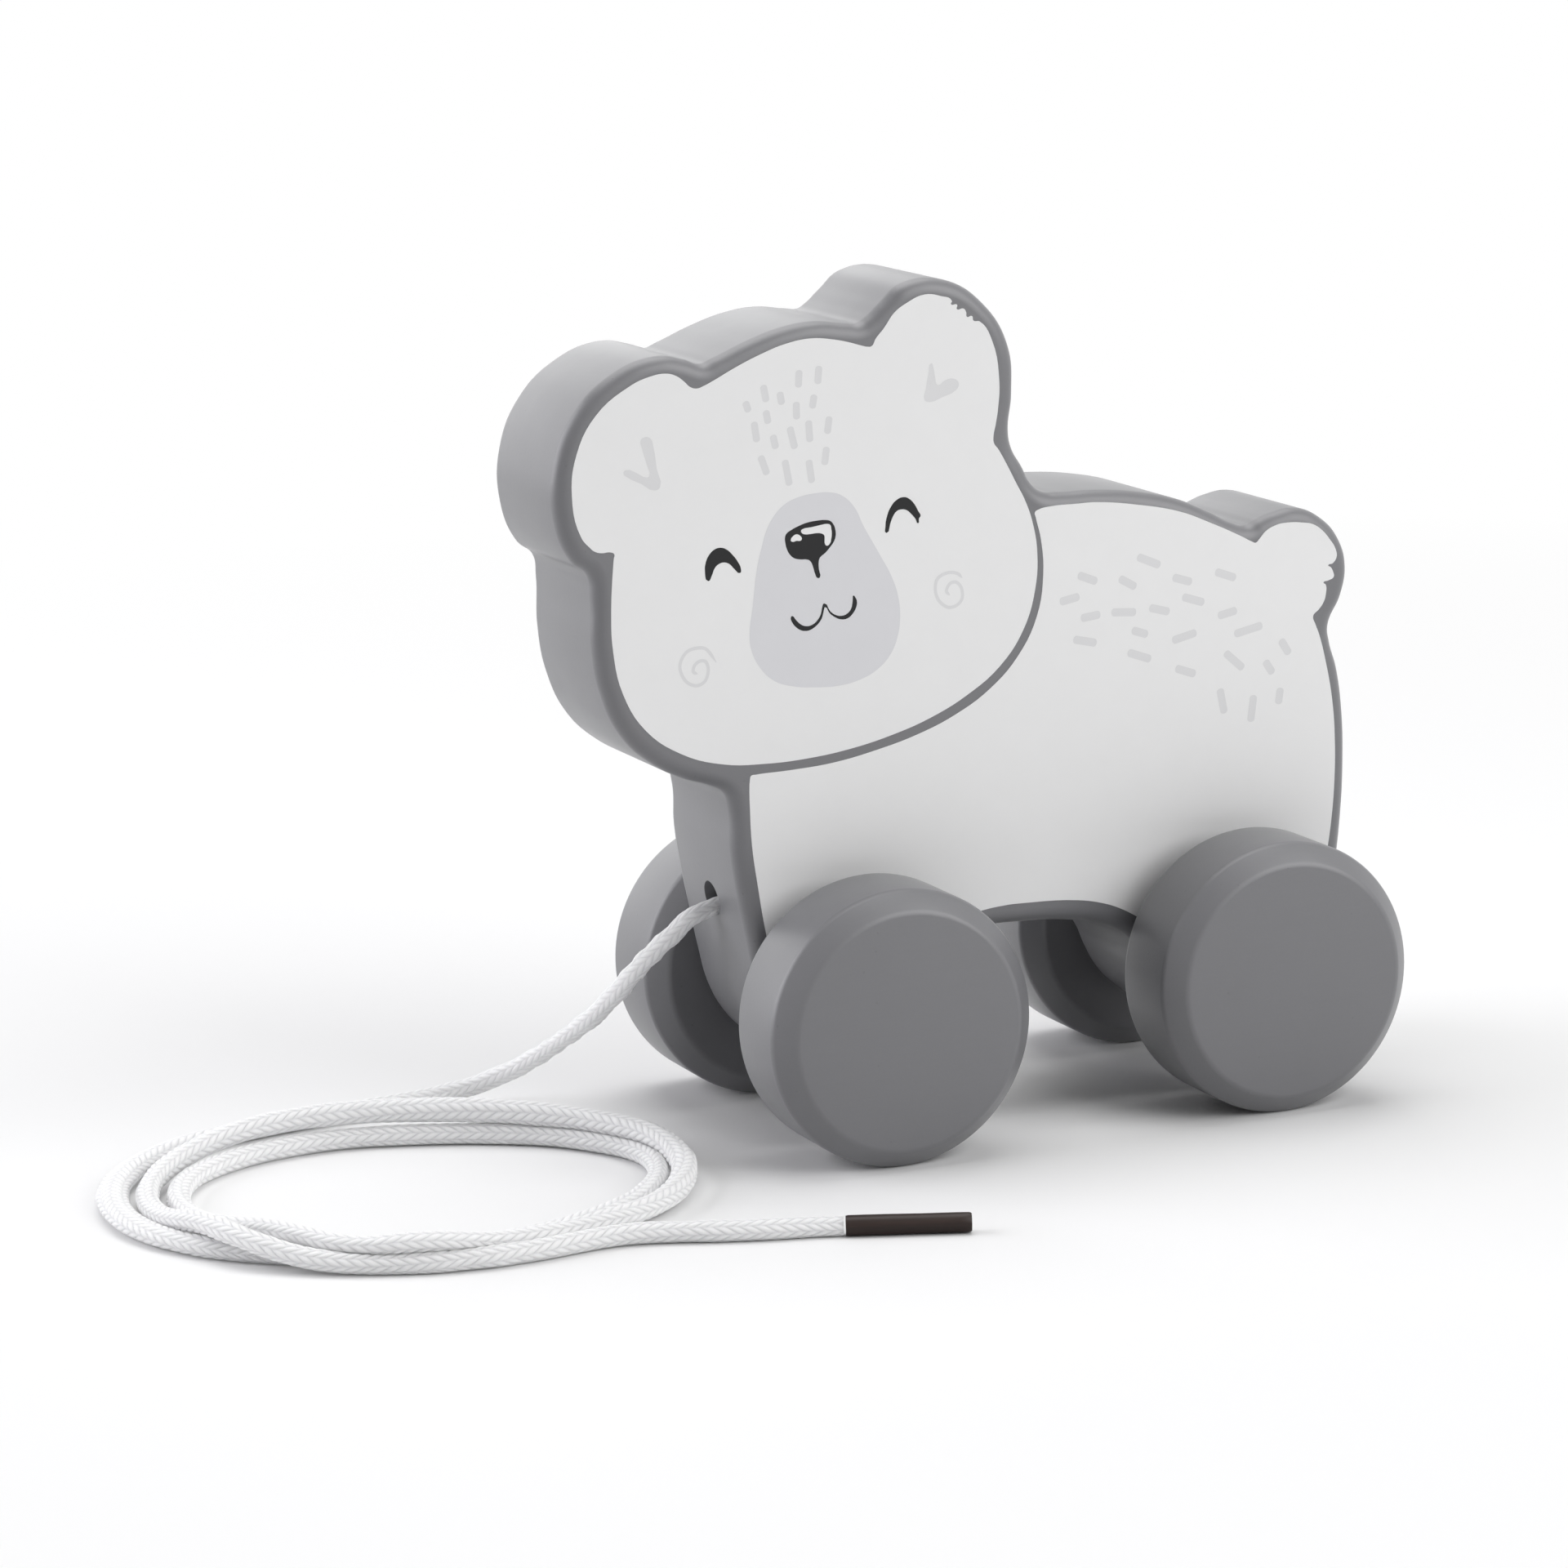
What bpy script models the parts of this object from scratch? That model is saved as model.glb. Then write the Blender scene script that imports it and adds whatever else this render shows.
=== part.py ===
"""Wooden pull-along bear: a painted board on two axles with four disc wheels and a pull cord.

Millimetre sizes are multiplied by MM, so every length in the scene is in metres. The bear looks
towards -X, its axles run along Y and the ground is z = 0.
"""

import math

import bmesh
import bpy
import numpy as np
from mathutils import Matrix, Vector

MM = 0.001

# Wheels and axles
WHEEL_RADIUS = 20.0 * MM
WHEEL_THICKNESS = 17.2 * MM
WHEEL_CHAMFER = 2.8 * MM
WHEEL_EDGE_ROUNDING = 0.8 * MM
WHEEL_BORE_DEPTH = 12.0 * MM
WHEEL_TO_BOARD = 2.4 * MM
AXLE_RADIUS = 3.0 * MM
AXLE_END_CHAMFER = 0.4 * MM
WHEELBASE = 61.0 * MM
FRONT_AXLE_X = -19.4 * MM

# Board
BOARD_THICKNESS = 24.0 * MM
BOARD_ROUNDING = 2.1 * MM
FRONT_OVERHANG = 43.0 * MM          # front axle to the front of the left ear
REAR_OVERHANG = 20.6 * MM           # rear axle to the end of the tail
HEAD_TOP = 102.8 * MM               # above the axles
FRONT_FOOT_RADIUS = 10.9 * MM
REAR_FOOT_RADIUS = 11.4 * MM
LEFT_EAR_RADIUS = 18.3 * MM
RIGHT_EAR_RADIUS = 14.3 * MM
TAIL_RADIUS = 9.7 * MM

# Cord
CORD_RADIUS = 1.5 * MM
CORD_BORE_RADIUS = 2.5 * MM
CORD_BORE_DEPTH = 13.5 * MM
CORD_BORE_HEIGHT = 14.9 * MM        # above the axles
TIP_RADIUS = 1.4 * MM
TIP_LENGTH = 17.0 * MM
GROUND_GAP = 0.05 * MM
COIL_CENTRE = (-87.5 * MM, -12.5 * MM)
COIL_POINTS_PER_TURN = 24

# Fits
RUNNING_CLEARANCE = 0.3 * MM        # axle in the board's bore, all round
SEAT_CLEARANCE = 0.3 * MM           # pieces that touch in life

REAR_AXLE_X = FRONT_AXLE_X + WHEELBASE
AXLE_Z = WHEEL_RADIUS
WHEEL_INNER_Y = BOARD_THICKNESS / 2 + WHEEL_TO_BOARD
WHEEL_CENTRE_Y = WHEEL_INNER_Y + WHEEL_THICKNESS / 2
AXLE_LENGTH = 2 * (WHEEL_INNER_Y + WHEEL_BORE_DEPTH - SEAT_CLEARANCE)

# The coil's stations: degrees round its centre, distance from it and lift off the ground, both in
# cord diameters. It starts behind, runs by the left and the front to the right, and lies two and a
# half turns deep: the second turn climbs over the first at the front, rides on it along the right
# and the back, and comes down between the two at the left to cross over the first at the front.
COIL_STATIONS = [
    (80, 15.07, 0.0), (95, 14.43, 0.0), (135, 14.3, 0.0), (160, 13.63, 0.0),
    (185, 12.67, 0.0), (200, 11.87, 0.0), (215, 10.9, 0.0), (230, 10.13, 0.0),
    (245, 9.7, 0.0), (260, 9.63, 0.0), (290, 9.8, 0.0), (305, 10.1, 0.0),
    (335, 11.3, 0.0), (350, 11.83, 0.0), (365, 12.13, 0.0), (380, 11.53, 0.0),
    (410, 10.2, 0.0), (430, 9.87, 0.0), (455, 10.33, 0.0), (500, 10.97, 0.0),
    (545, 10.37, 0.0), (560, 10.0, 0.0), (575, 9.47, 0.1), (590, 8.93, 0.67),
    (605, 9.5, 1.27), (620, 10.4, 0.95), (650, 10.7, 0.78), (680, 12.07, 0.27),
    (695, 12.67, 0.33), (710, 12.83, 0.72), (725, 12.57, 1.13), (740, 11.87, 1.18),
    (770, 10.43, 1.17), (790, 10.3, 1.17), (830, 11.27, 1.07), (845, 11.87, 0.7),
    (860, 12.3, 0.23), (875, 12.2, 0.03), (890, 11.83, 0.1), (905, 11.47, 0.53),
    (920, 11.47, 1.3), (935, 11.77, 0.97), (950, 11.63, 0.13), (965, 11.43, 0.0),
    (995, 11.63, 0.0)]


# Scene and collections

def clear_scene():
    for item in list(bpy.data.objects):
        bpy.data.objects.remove(item, do_unlink=True)


def new_collection(name):
    collection = bpy.data.collections.new(name)
    bpy.context.scene.collection.children.link(collection)
    return collection


clear_scene()
BEAR = new_collection("pull_along_bear")
CUTTERS = new_collection("cutters")


def paint(name, colour, roughness):
    material = bpy.data.materials.new(name)
    material.use_nodes = True
    shader = material.node_tree.nodes["Principled BSDF"]
    shader.inputs["Base Color"].default_value = (*colour, 1.0)
    shader.inputs["Roughness"].default_value = roughness
    shader.inputs["Metallic"].default_value = 0.0
    return material


def add_object(name, data, material, collection=BEAR):
    item = bpy.data.objects.new(name, data)
    collection.objects.link(item)
    if material:
        item.data.materials.clear()
        item.data.materials.append(material)
    return item


def add_empty(name, location):
    empty = bpy.data.objects.new(name, None)
    empty.location = location
    BEAR.objects.link(empty)
    return empty


def mesh_from_bmesh(name, bm):
    mesh = bpy.data.meshes.new(name)
    bm.to_mesh(mesh)
    bm.free()
    return mesh


def shade_round(mesh, degrees=30.0):
    mesh.shade_smooth()
    mesh.set_sharp_from_angle(angle=math.radians(degrees))


def as_cutter(item):
    item.hide_render = True
    item.display_type = "WIRE"


def cut(item, cutter):
    modifier = item.modifiers.new("cut_" + cutter.name, "BOOLEAN")
    modifier.operation = "DIFFERENCE"
    modifier.object = cutter
    modifier.solver = "EXACT"


# The board's outline: the bear seen from its left flank.
#
# Knots are shares of the overall sizes. Along the bear, 0 is the front axle and 1 the rear one; a
# whole FRONT_OVERHANG before the one is -1 and a whole REAR_OVERHANG behind the other is 2. Upwards,
# 0 is the height of the axles and 1 that of HEAD_TOP. Feet, ears and tail are round, with knots in
# degrees and radii from their centre.
CHEST = [(-0.4114, 0.2916), (-0.4079, 0.2334), (-0.3898, 0.1752), (-0.3615, 0.1120),
         (-0.3339, 0.0536)]
FRONT_FOOT = [(182.2, 1.173), (204.8, 1.05), (222, 1.0), (249, 1.0), (276, 1.0), (303, 1.0),
              (330, 1.0), (354.6, 0.977)]
ARCH = [(0.2033, 0.0370), (0.2590, 0.0700), (0.3361, 0.0807), (0.4492, 0.0817), (0.5639, 0.0769),
        (0.6623, 0.0642), (0.7312, 0.0448), (0.7689, 0.0156)]
REAR_FOOT = [(188.1, 1.117), (205.9, 1.044), (224, 1.0), (248, 1.0), (272, 1.0), (296, 1.0),
             (319.6, 1.082), (347.1, 1.246)]
RUMP = [(1.8182, 0.0346), (1.8991, 0.1027), (1.9519, 0.1804), (1.9745, 0.2579), (1.9657, 0.3353),
        (1.9219, 0.3982), (1.8651, 0.4372), (1.8547, 0.4595)]
TAIL_CENTRE = (1.5288, 0.5395)
TAIL = [(-23.8, 0.996), (2.1, 0.996), (28.0, 0.993), (52.9, 0.991), (79.9, 1.002), (106.8, 0.991)]
BACK = [(1.2859, 0.6220), (1.1981, 0.6148), (1.0803, 0.6216), (0.9715, 0.6387), (0.8803, 0.6624),
        (0.7687, 0.6785), (0.6589, 0.6858), (0.5721, 0.6871)]
NAPE = [(0.5277, 0.6903), (0.4979, 0.7041), (0.4743, 0.7292), (0.4485, 0.7560), (0.4413, 0.7802)]
RIGHT_EAR_CENTRE = (0.2206, 0.8586)
RIGHT_EAR = [(-11.5, 1.005), (17.1, 0.994), (45.8, 0.994), (74.3, 1.015), (102.1, 0.993)]
CROWN = [(0.1179, 0.9690), (0.0846, 0.9523), (0.0614, 0.9449), (0.0270, 0.9464),
         (-0.0698, 0.9520), (-0.1856, 0.9467), (-0.3097, 0.9313), (-0.4230, 0.9128),
         (-0.4720, 0.9065), (-0.5241, 0.9140)]
LEFT_EAR_CENTRE = (-0.5737, 0.7450)
LEFT_EAR = [(97.3, 0.998), (120.5, 0.999), (143.4, 1.0), (166.7, 0.996), (190.7, 1.0)]
CHEEK = [(-0.9389, 0.6544), (-0.8840, 0.6337), (-0.8745, 0.6032), (-0.8751, 0.5351),
         (-0.8495, 0.4691), (-0.7807, 0.4068), (-0.6788, 0.3659), (-0.5608, 0.3392),
         (-0.4795, 0.3274), (-0.4294, 0.3147)]


def placed(along, up):
    """The knot's (x, z), with z from the axles."""
    if along < 0:
        x = FRONT_AXLE_X + along * FRONT_OVERHANG
    elif along < 1:
        x = FRONT_AXLE_X + along * WHEELBASE
    else:
        x = REAR_AXLE_X + (along - 1) * REAR_OVERHANG
    return (x, up * HEAD_TOP)


def knots(shares):
    return [placed(along, up) for along, up in shares]


def round_knots(centre, radius, stations):
    middle = Vector(placed(*centre))
    return [tuple(middle + radius * reach * Vector((math.cos(angle), math.sin(angle))))
            for angle, reach in ((math.radians(degrees), reach) for degrees, reach in stations)]


def board_outline():
    return (knots(CHEST)
            + round_knots((0, 0), FRONT_FOOT_RADIUS, FRONT_FOOT)
            + knots(ARCH)
            + round_knots((1, 0), REAR_FOOT_RADIUS, REAR_FOOT)
            + knots(RUMP)
            + round_knots(TAIL_CENTRE, TAIL_RADIUS, TAIL)
            + knots(BACK)
            + knots(NAPE)
            + round_knots(RIGHT_EAR_CENTRE, RIGHT_EAR_RADIUS, RIGHT_EAR)
            + knots(CROWN)
            + round_knots(LEFT_EAR_CENTRE, LEFT_EAR_RADIUS, LEFT_EAR)
            + knots(CHEEK))


def chest_x(height):
    """Where the chest stands, this high above the axles."""
    chest = knots(CHEST)[::-1]
    return float(np.interp(height, [z for x, z in chest], [x for x, z in chest]))


def outline_solid(points, thickness):
    """Closed 2D curve through the points, filled and extruded to both sides."""
    curve = bpy.data.curves.new("board_outline", "CURVE")
    curve.dimensions = "2D"
    curve.fill_mode = "BOTH"
    curve.extrude = thickness / 2
    curve.resolution_u = 3
    spline = curve.splines.new("BEZIER")
    spline.bezier_points.add(len(points) - 1)
    for knot, (x, z) in zip(spline.bezier_points, points):
        knot.co = (x, z, 0.0)
        knot.handle_left_type = "AUTO"
        knot.handle_right_type = "AUTO"
    spline.use_cyclic_u = True
    outline = add_object("board_outline", curve, None)
    outline.rotation_euler = (math.pi / 2, 0.0, 0.0)
    outline.location = (0.0, 0.0, AXLE_Z)
    bpy.context.view_layer.update()
    evaluated = outline.evaluated_get(bpy.context.evaluated_depsgraph_get())
    mesh = bpy.data.meshes.new_from_object(evaluated)
    placed = outline.matrix_world.copy()
    bpy.data.objects.remove(outline, do_unlink=True)
    bm = bmesh.new()
    bm.from_mesh(mesh)
    bmesh.ops.remove_doubles(bm, verts=bm.verts, dist=0.00002)
    bmesh.ops.dissolve_limit(bm, angle_limit=math.radians(0.1), verts=bm.verts, edges=bm.edges)
    bm.transform(placed)
    bmesh.ops.recalc_face_normals(bm, faces=bm.faces)
    bm.to_mesh(mesh)
    bm.free()
    return mesh


def cylinder_mesh(name, radius, length, segments, direction):
    """Closed cylinder about the origin, along the direction."""
    bm = bmesh.new()
    bmesh.ops.create_cone(bm, cap_ends=True, cap_tris=False, segments=segments,
                          radius1=radius, radius2=radius, depth=length)
    bm.transform(Vector(direction).to_track_quat("Z", "Y").to_matrix().to_4x4())
    return mesh_from_bmesh(name, bm)


def build_board(material):
    mesh = outline_solid(board_outline(), BOARD_THICKNESS)
    board = add_object("bear_board", mesh, material)
    rim = board.modifiers.new("rounded_rims", "BEVEL")
    rim.width = BOARD_ROUNDING
    rim.segments = 4
    rim.limit_method = "ANGLE"
    rim.angle_limit = math.radians(60.0)
    rim.use_clamp_overlap = False
    for name, axle_x in (("front_axle_bore", FRONT_AXLE_X), ("rear_axle_bore", REAR_AXLE_X)):
        bore = cylinder_mesh(name, AXLE_RADIUS + RUNNING_CLEARANCE, 2 * BOARD_THICKNESS, 32, (0, 1, 0))
        cutter = add_object(name, bore, None, CUTTERS)
        cutter.location = (axle_x, 0.0, AXLE_Z)
        as_cutter(cutter)
        cut(board, cutter)
    bore = cylinder_mesh("cord_bore", CORD_BORE_RADIUS, 2 * CORD_BORE_DEPTH, 24, (1, 0, 0))
    cutter = add_object("cord_bore", bore, None, CUTTERS)
    cutter.location = (chest_x(CORD_BORE_HEIGHT), 0.0, AXLE_Z + CORD_BORE_HEIGHT)
    as_cutter(cutter)
    cut(board, cutter)
    shade_round(board.data)
    return board


# Wheels: one turned profile, swept round the axle

def rounded(points, radius, steps):
    """The open line through the points, with each inner corner rounded to the radius."""
    out = [Vector(points[0])]
    for before, corner, after in zip(points, points[1:], points[2:]):
        a = (Vector(before) - Vector(corner)).normalized()
        b = (Vector(after) - Vector(corner)).normalized()
        half = a.angle(b) / 2
        reach = radius / math.tan(half)
        centre = Vector(corner) + (a + b).normalized() * (radius / math.sin(half))
        start = Vector(corner) + a * reach - centre
        end = Vector(corner) + b * reach - centre
        for i in range(steps + 1):
            out.append(centre + start.lerp(end, i / steps).normalized() * radius)
    out.append(Vector(points[-1]))
    return out


def wheel_mesh():
    """Disc on the Z axis, its blind bore opening downwards."""
    half = WHEEL_THICKNESS / 2
    face_radius = WHEEL_RADIUS - WHEEL_CHAMFER
    bore_radius = AXLE_RADIUS + SEAT_CLEARANCE
    rim = [(0.0, half), (face_radius, half), (WHEEL_RADIUS, half - WHEEL_CHAMFER),
           (WHEEL_RADIUS, WHEEL_CHAMFER - half), (face_radius, -half), (bore_radius, -half)]
    profile = rounded(rim, WHEEL_EDGE_ROUNDING, 2)
    profile += [Vector((bore_radius, WHEEL_BORE_DEPTH - half)), Vector((0.0, WHEEL_BORE_DEPTH - half))]
    mesh = bpy.data.meshes.new("wheel_profile")
    mesh.from_pydata([(x, 0.0, z) for x, z in profile],
                     [(i, i + 1) for i in range(len(profile) - 1)], [])
    return mesh


def build_wheel(name, mesh, empty, side, material):
    """side is -1 for the bear's left flank and 1 for its right one."""
    wheel = add_object(name, mesh, material)
    wheel.parent = empty
    wheel.location = (0.0, side * WHEEL_CENTRE_Y, 0.0)
    wheel.rotation_euler = (-side * math.pi / 2, 0.0, 0.0)
    screw = wheel.modifiers.new("turned", "SCREW")
    screw.axis = "Z"
    screw.steps = 64
    screw.render_steps = 64
    screw.use_merge_vertices = True
    screw.merge_threshold = 0.00001
    screw.use_smooth_shade = True
    return wheel


def build_axle(name, empty, material):
    mesh = cylinder_mesh(name, AXLE_RADIUS, AXLE_LENGTH, 32, (0, 1, 0))
    axle = add_object(name, mesh, material)
    axle.parent = empty
    ends = axle.modifiers.new("eased_ends", "BEVEL")
    ends.width = AXLE_END_CHAMFER
    ends.segments = 1
    ends.limit_method = "ANGLE"
    ends.angle_limit = math.radians(60.0)
    shade_round(mesh)
    return axle


# Cord

def smooth_curve(points, samples=12):
    """Catmull-Rom curve through the points."""
    p = [2 * points[0] - points[1]] + points + [2 * points[-1] - points[-2]]
    out = []
    for a, b, c, d in zip(p, p[1:], p[2:], p[3:]):
        for i in range(samples):
            t = i / samples
            out.append(0.5 * (2 * b + (c - a) * t + (2 * a - 5 * b + 4 * c - d) * t ** 2
                              + (3 * b - a - 3 * c + d) * t ** 3))
    out.append(points[-1])
    return out


def evenly_spaced(points, spacing):
    """The same line with points about one spacing apart, its two ends kept."""
    line = np.array(points)
    steps = np.linalg.norm(np.diff(line, axis=0), axis=1)
    along = np.concatenate([[0.0], np.cumsum(steps)])
    count = max(2, round(along[-1] / spacing) + 1)
    at = np.linspace(0.0, along[-1], count)
    return [Vector([np.interp(s, along, line[:, k]) for k in range(3)]) for s in at]


def line_length(points):
    return sum((b - a).length for a, b in zip(points, points[1:]))


def tube(name, points, resolution, material):
    curve = bpy.data.curves.new(name, "CURVE")
    curve.dimensions = "3D"
    curve.bevel_depth = CORD_RADIUS
    curve.bevel_resolution = resolution
    curve.use_fill_caps = True
    spline = curve.splines.new("POLY")
    spline.points.add(len(points) - 1)
    for point, place in zip(spline.points, points):
        point.co = (*place, 1.0)
    return add_object(name, curve, material)


def coil_point(degrees):
    """Place on the coil's centre line at this angle, eased from station to station."""
    stations = np.array(COIL_STATIONS)
    angles = stations[:, 0]
    k = int(np.clip(np.searchsorted(angles, degrees, side="right") - 1, 0, len(angles) - 2))

    def slope(j):
        before = max(j - 1, 0)
        after = min(j + 1, len(angles) - 1)
        return (stations[after, 1:] - stations[before, 1:]) / (angles[after] - angles[before])

    span = angles[k + 1] - angles[k]
    t = (degrees - angles[k]) / span
    distance, lift = ((2 * t ** 3 - 3 * t ** 2 + 1) * stations[k, 1:]
                      + (t ** 3 - 2 * t ** 2 + t) * span * slope(k)
                      + (3 * t ** 2 - 2 * t ** 3) * stations[k + 1, 1:]
                      + (t ** 3 - t ** 2) * span * slope(k + 1))
    angle = math.radians(degrees)
    diameter = 2 * CORD_RADIUS
    return Vector((COIL_CENTRE[0] + distance * diameter * math.cos(angle),
                   COIL_CENTRE[1] + distance * diameter * math.sin(angle),
                   CORD_RADIUS + GROUND_GAP + max(lift, 0.0) * diameter))


def coil_line():
    """Points of the coil's centre line, each end run on straight for one cord diameter."""
    first, last = COIL_STATIONS[0][0], COIL_STATIONS[-1][0]
    count = round((last - first) / 360.0 * COIL_POINTS_PER_TURN)
    turns = [coil_point(a) for a in np.linspace(first, last, count + 1)]
    start = turns[0] + (turns[0] - turns[1]).normalized() * 2 * CORD_RADIUS
    end = turns[-1] + (turns[-1] - turns[-2]).normalized() * 2 * CORD_RADIUS
    return [start] + turns + [end]


def least_gap(line):
    """Least clear distance from the tube to itself, on points a tenth of a span apart."""
    points = np.array([a.lerp(b, i / 10) for a, b in zip(line, line[1:]) for i in range(10)])
    half_turn = 10 * COIL_POINTS_PER_TURN // 2
    apart = [np.linalg.norm(points[i + half_turn:] - points[i], axis=1).min()
             for i in range(len(points) - half_turn)]
    return min(apart) - 2 * CORD_RADIUS


def lead_line(coil_start, into_coil):
    """From the root of the bore out of the chest, down to the ground and up to the coil's start."""
    mouth_x = chest_x(CORD_BORE_HEIGHT)
    bore_z = AXLE_Z + CORD_BORE_HEIGHT - CORD_BORE_RADIUS + CORD_RADIUS + SEAT_CLEARANCE
    root = Vector((mouth_x + CORD_BORE_DEPTH - SEAT_CLEARANCE, 0.0, bore_z))
    mouth = Vector((mouth_x + CORD_RADIUS, 0.0, bore_z))
    hanging = [(-2.9, 0.3, -0.9), (-5.5, 1.5, -3.2), (-7.8, 3.2, -5.9), (-9.7, 5.3, -9.0),
               (-11.1, 8.0, -12.2), (-12.4, 11.6, -15.9), (-14.1, 16.0, -19.7),
               (-15.9, 21.1, -23.3), (-17.9, 26.0, -26.6), (-20.3, 30.0, -29.2)]
    landing = [(17.9, 0.4, 1.65), (14.1, 1.8, 0.55), (9.9, 1.8, 0.0), (5.7, 1.0, 0.0)]
    end = coil_start - into_coil * SEAT_CLEARANCE
    before_end = end - into_coil * 2 * CORD_RADIUS
    route = [mouth] + [Vector((mouth_x, 0.0, bore_z)) + Vector(p) * MM for p in hanging]
    route += [coil_start + Vector(p) * MM for p in landing] + [before_end]
    return [root] + evenly_spaced(smooth_curve(route), 5.5 * MM) + [end]


def tail_line(coil_end, out_of_coil):
    """From the coil's end along the ground; the last span points along the tip."""
    ground = [(9.0, 1.2, 0.0), (14.6, 0.7, 0.0), (20.6, -1.7, 0.0), (27.3, -4.7, 0.0),
              (33.9, -6.7, 0.0)]
    start = coil_end + out_of_coil * SEAT_CLEARANCE
    after_start = start + out_of_coil * 2 * CORD_RADIUS
    route = [after_start] + [coil_end + Vector(p) * MM for p in ground]
    tip_direction = Vector((15.8, -6.6, 0.0)).normalized()
    end = coil_end + Vector((40.2, -8.9, 0.0)) * MM
    return [start] + evenly_spaced(smooth_curve(route + [end - tip_direction * 2 * CORD_RADIUS]),
                                   6.0 * MM) + [end]


def build_cord(cord_white, tip_brown):
    coil = coil_line()
    lead = lead_line(coil[0], (coil[1] - coil[0]).normalized())
    tail = tail_line(coil[-1], (coil[-1] - coil[-2]).normalized())
    tube("cord_lead", lead, 2, cord_white)
    tube("cord_coil", coil, 1, cord_white)
    tube("cord_tail", tail, 2, cord_white)

    along = (tail[-1] - tail[-2]).normalized()
    tip_mesh = cylinder_mesh("cord_tip", TIP_RADIUS, TIP_LENGTH, 16, along)
    tip = add_object("cord_tip", tip_mesh, tip_brown)
    tip.location = tail[-1] + along * (SEAT_CLEARANCE + TIP_LENGTH / 2)
    tip.location.z = TIP_RADIUS + GROUND_GAP
    shade_round(tip_mesh)

    lengths = [line_length(line) for line in (lead, coil, tail)]
    print("cord lengths in mm:", [round(length / MM, 1) for length in lengths],
          "in all", round(sum(lengths) / MM, 1))
    print("least gap of the coil to itself in mm:", round(least_gap(coil) / MM, 2))


def build_bear():
    grey_paint = paint("grey_paint", (0.196, 0.196, 0.203), 0.55)
    dowel_wood = paint("dowel_wood", (0.56, 0.40, 0.24), 0.6)
    cord_white = paint("cord_white", (0.85, 0.85, 0.85), 0.7)
    tip_brown = paint("tip_brown", (0.035, 0.022, 0.020), 0.35)

    build_board(grey_paint)
    wheel = wheel_mesh()
    for end, axle_x in (("front", FRONT_AXLE_X), ("rear", REAR_AXLE_X)):
        empty = add_empty(end + "_wheelset", (axle_x, 0.0, AXLE_Z))
        build_axle(end + "_axle", empty, dowel_wood)
        build_wheel(end + "_left_wheel", wheel, empty, -1, grey_paint)
        build_wheel(end + "_right_wheel", wheel, empty, 1, grey_paint)
    build_cord(cord_white, tip_brown)


build_bear()
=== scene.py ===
"""Wooden pull-along bear: painted board, printed face and coat, four turned wheels, braided cord.

Lengths are given in millimetres and multiplied by MM. The bear looks towards -X, its axles run
along Y and the ground is z = 0.
"""

import math

import bmesh
import bpy
import numpy as np
from mathutils import Matrix, Vector


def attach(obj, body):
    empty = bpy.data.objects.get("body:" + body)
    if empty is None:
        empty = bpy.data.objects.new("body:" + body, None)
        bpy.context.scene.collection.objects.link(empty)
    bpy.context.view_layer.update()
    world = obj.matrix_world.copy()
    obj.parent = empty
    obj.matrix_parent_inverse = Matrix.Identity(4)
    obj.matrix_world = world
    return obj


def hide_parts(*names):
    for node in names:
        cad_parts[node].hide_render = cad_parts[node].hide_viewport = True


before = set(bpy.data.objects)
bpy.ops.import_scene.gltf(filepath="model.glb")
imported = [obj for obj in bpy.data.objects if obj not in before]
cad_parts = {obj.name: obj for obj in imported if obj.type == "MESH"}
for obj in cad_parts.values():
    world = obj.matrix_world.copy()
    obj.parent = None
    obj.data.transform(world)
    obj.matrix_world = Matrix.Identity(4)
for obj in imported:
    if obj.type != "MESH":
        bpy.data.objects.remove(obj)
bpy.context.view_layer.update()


# The board: one piece of beech, 24 mm thick, sawn along the bear's outline, both rims rounded with
# a cutter, sanded and sprayed grey all over. Two bores carry the axles, and a blind one in the
# chest holds the cord.

MM = 0.001
BOARD_THICKNESS = 24.0 * MM
RIM_ROUNDING = 2.1 * MM
RIM_STEPS = 7
FLAT_MARGIN = 0.15 * MM             # keeps the flat faces' shading flat up to the rims
AXLE_Z = 20.0 * MM
FRONT_AXLE_X = -19.4 * MM
REAR_AXLE_X = 41.6 * MM
AXLE_BORE_RADIUS = 3.3 * MM
CHEST_X = -35.58 * MM
CORD_BORE_Z = 34.9 * MM
CORD_BORE_RADIUS = 2.5 * MM
CORD_BORE_DEPTH = 13.5 * MM
OUTLINE_DETAIL = 9
BORE_SEGMENTS = 48
SHARP_DEGREES = 40.0

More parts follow.
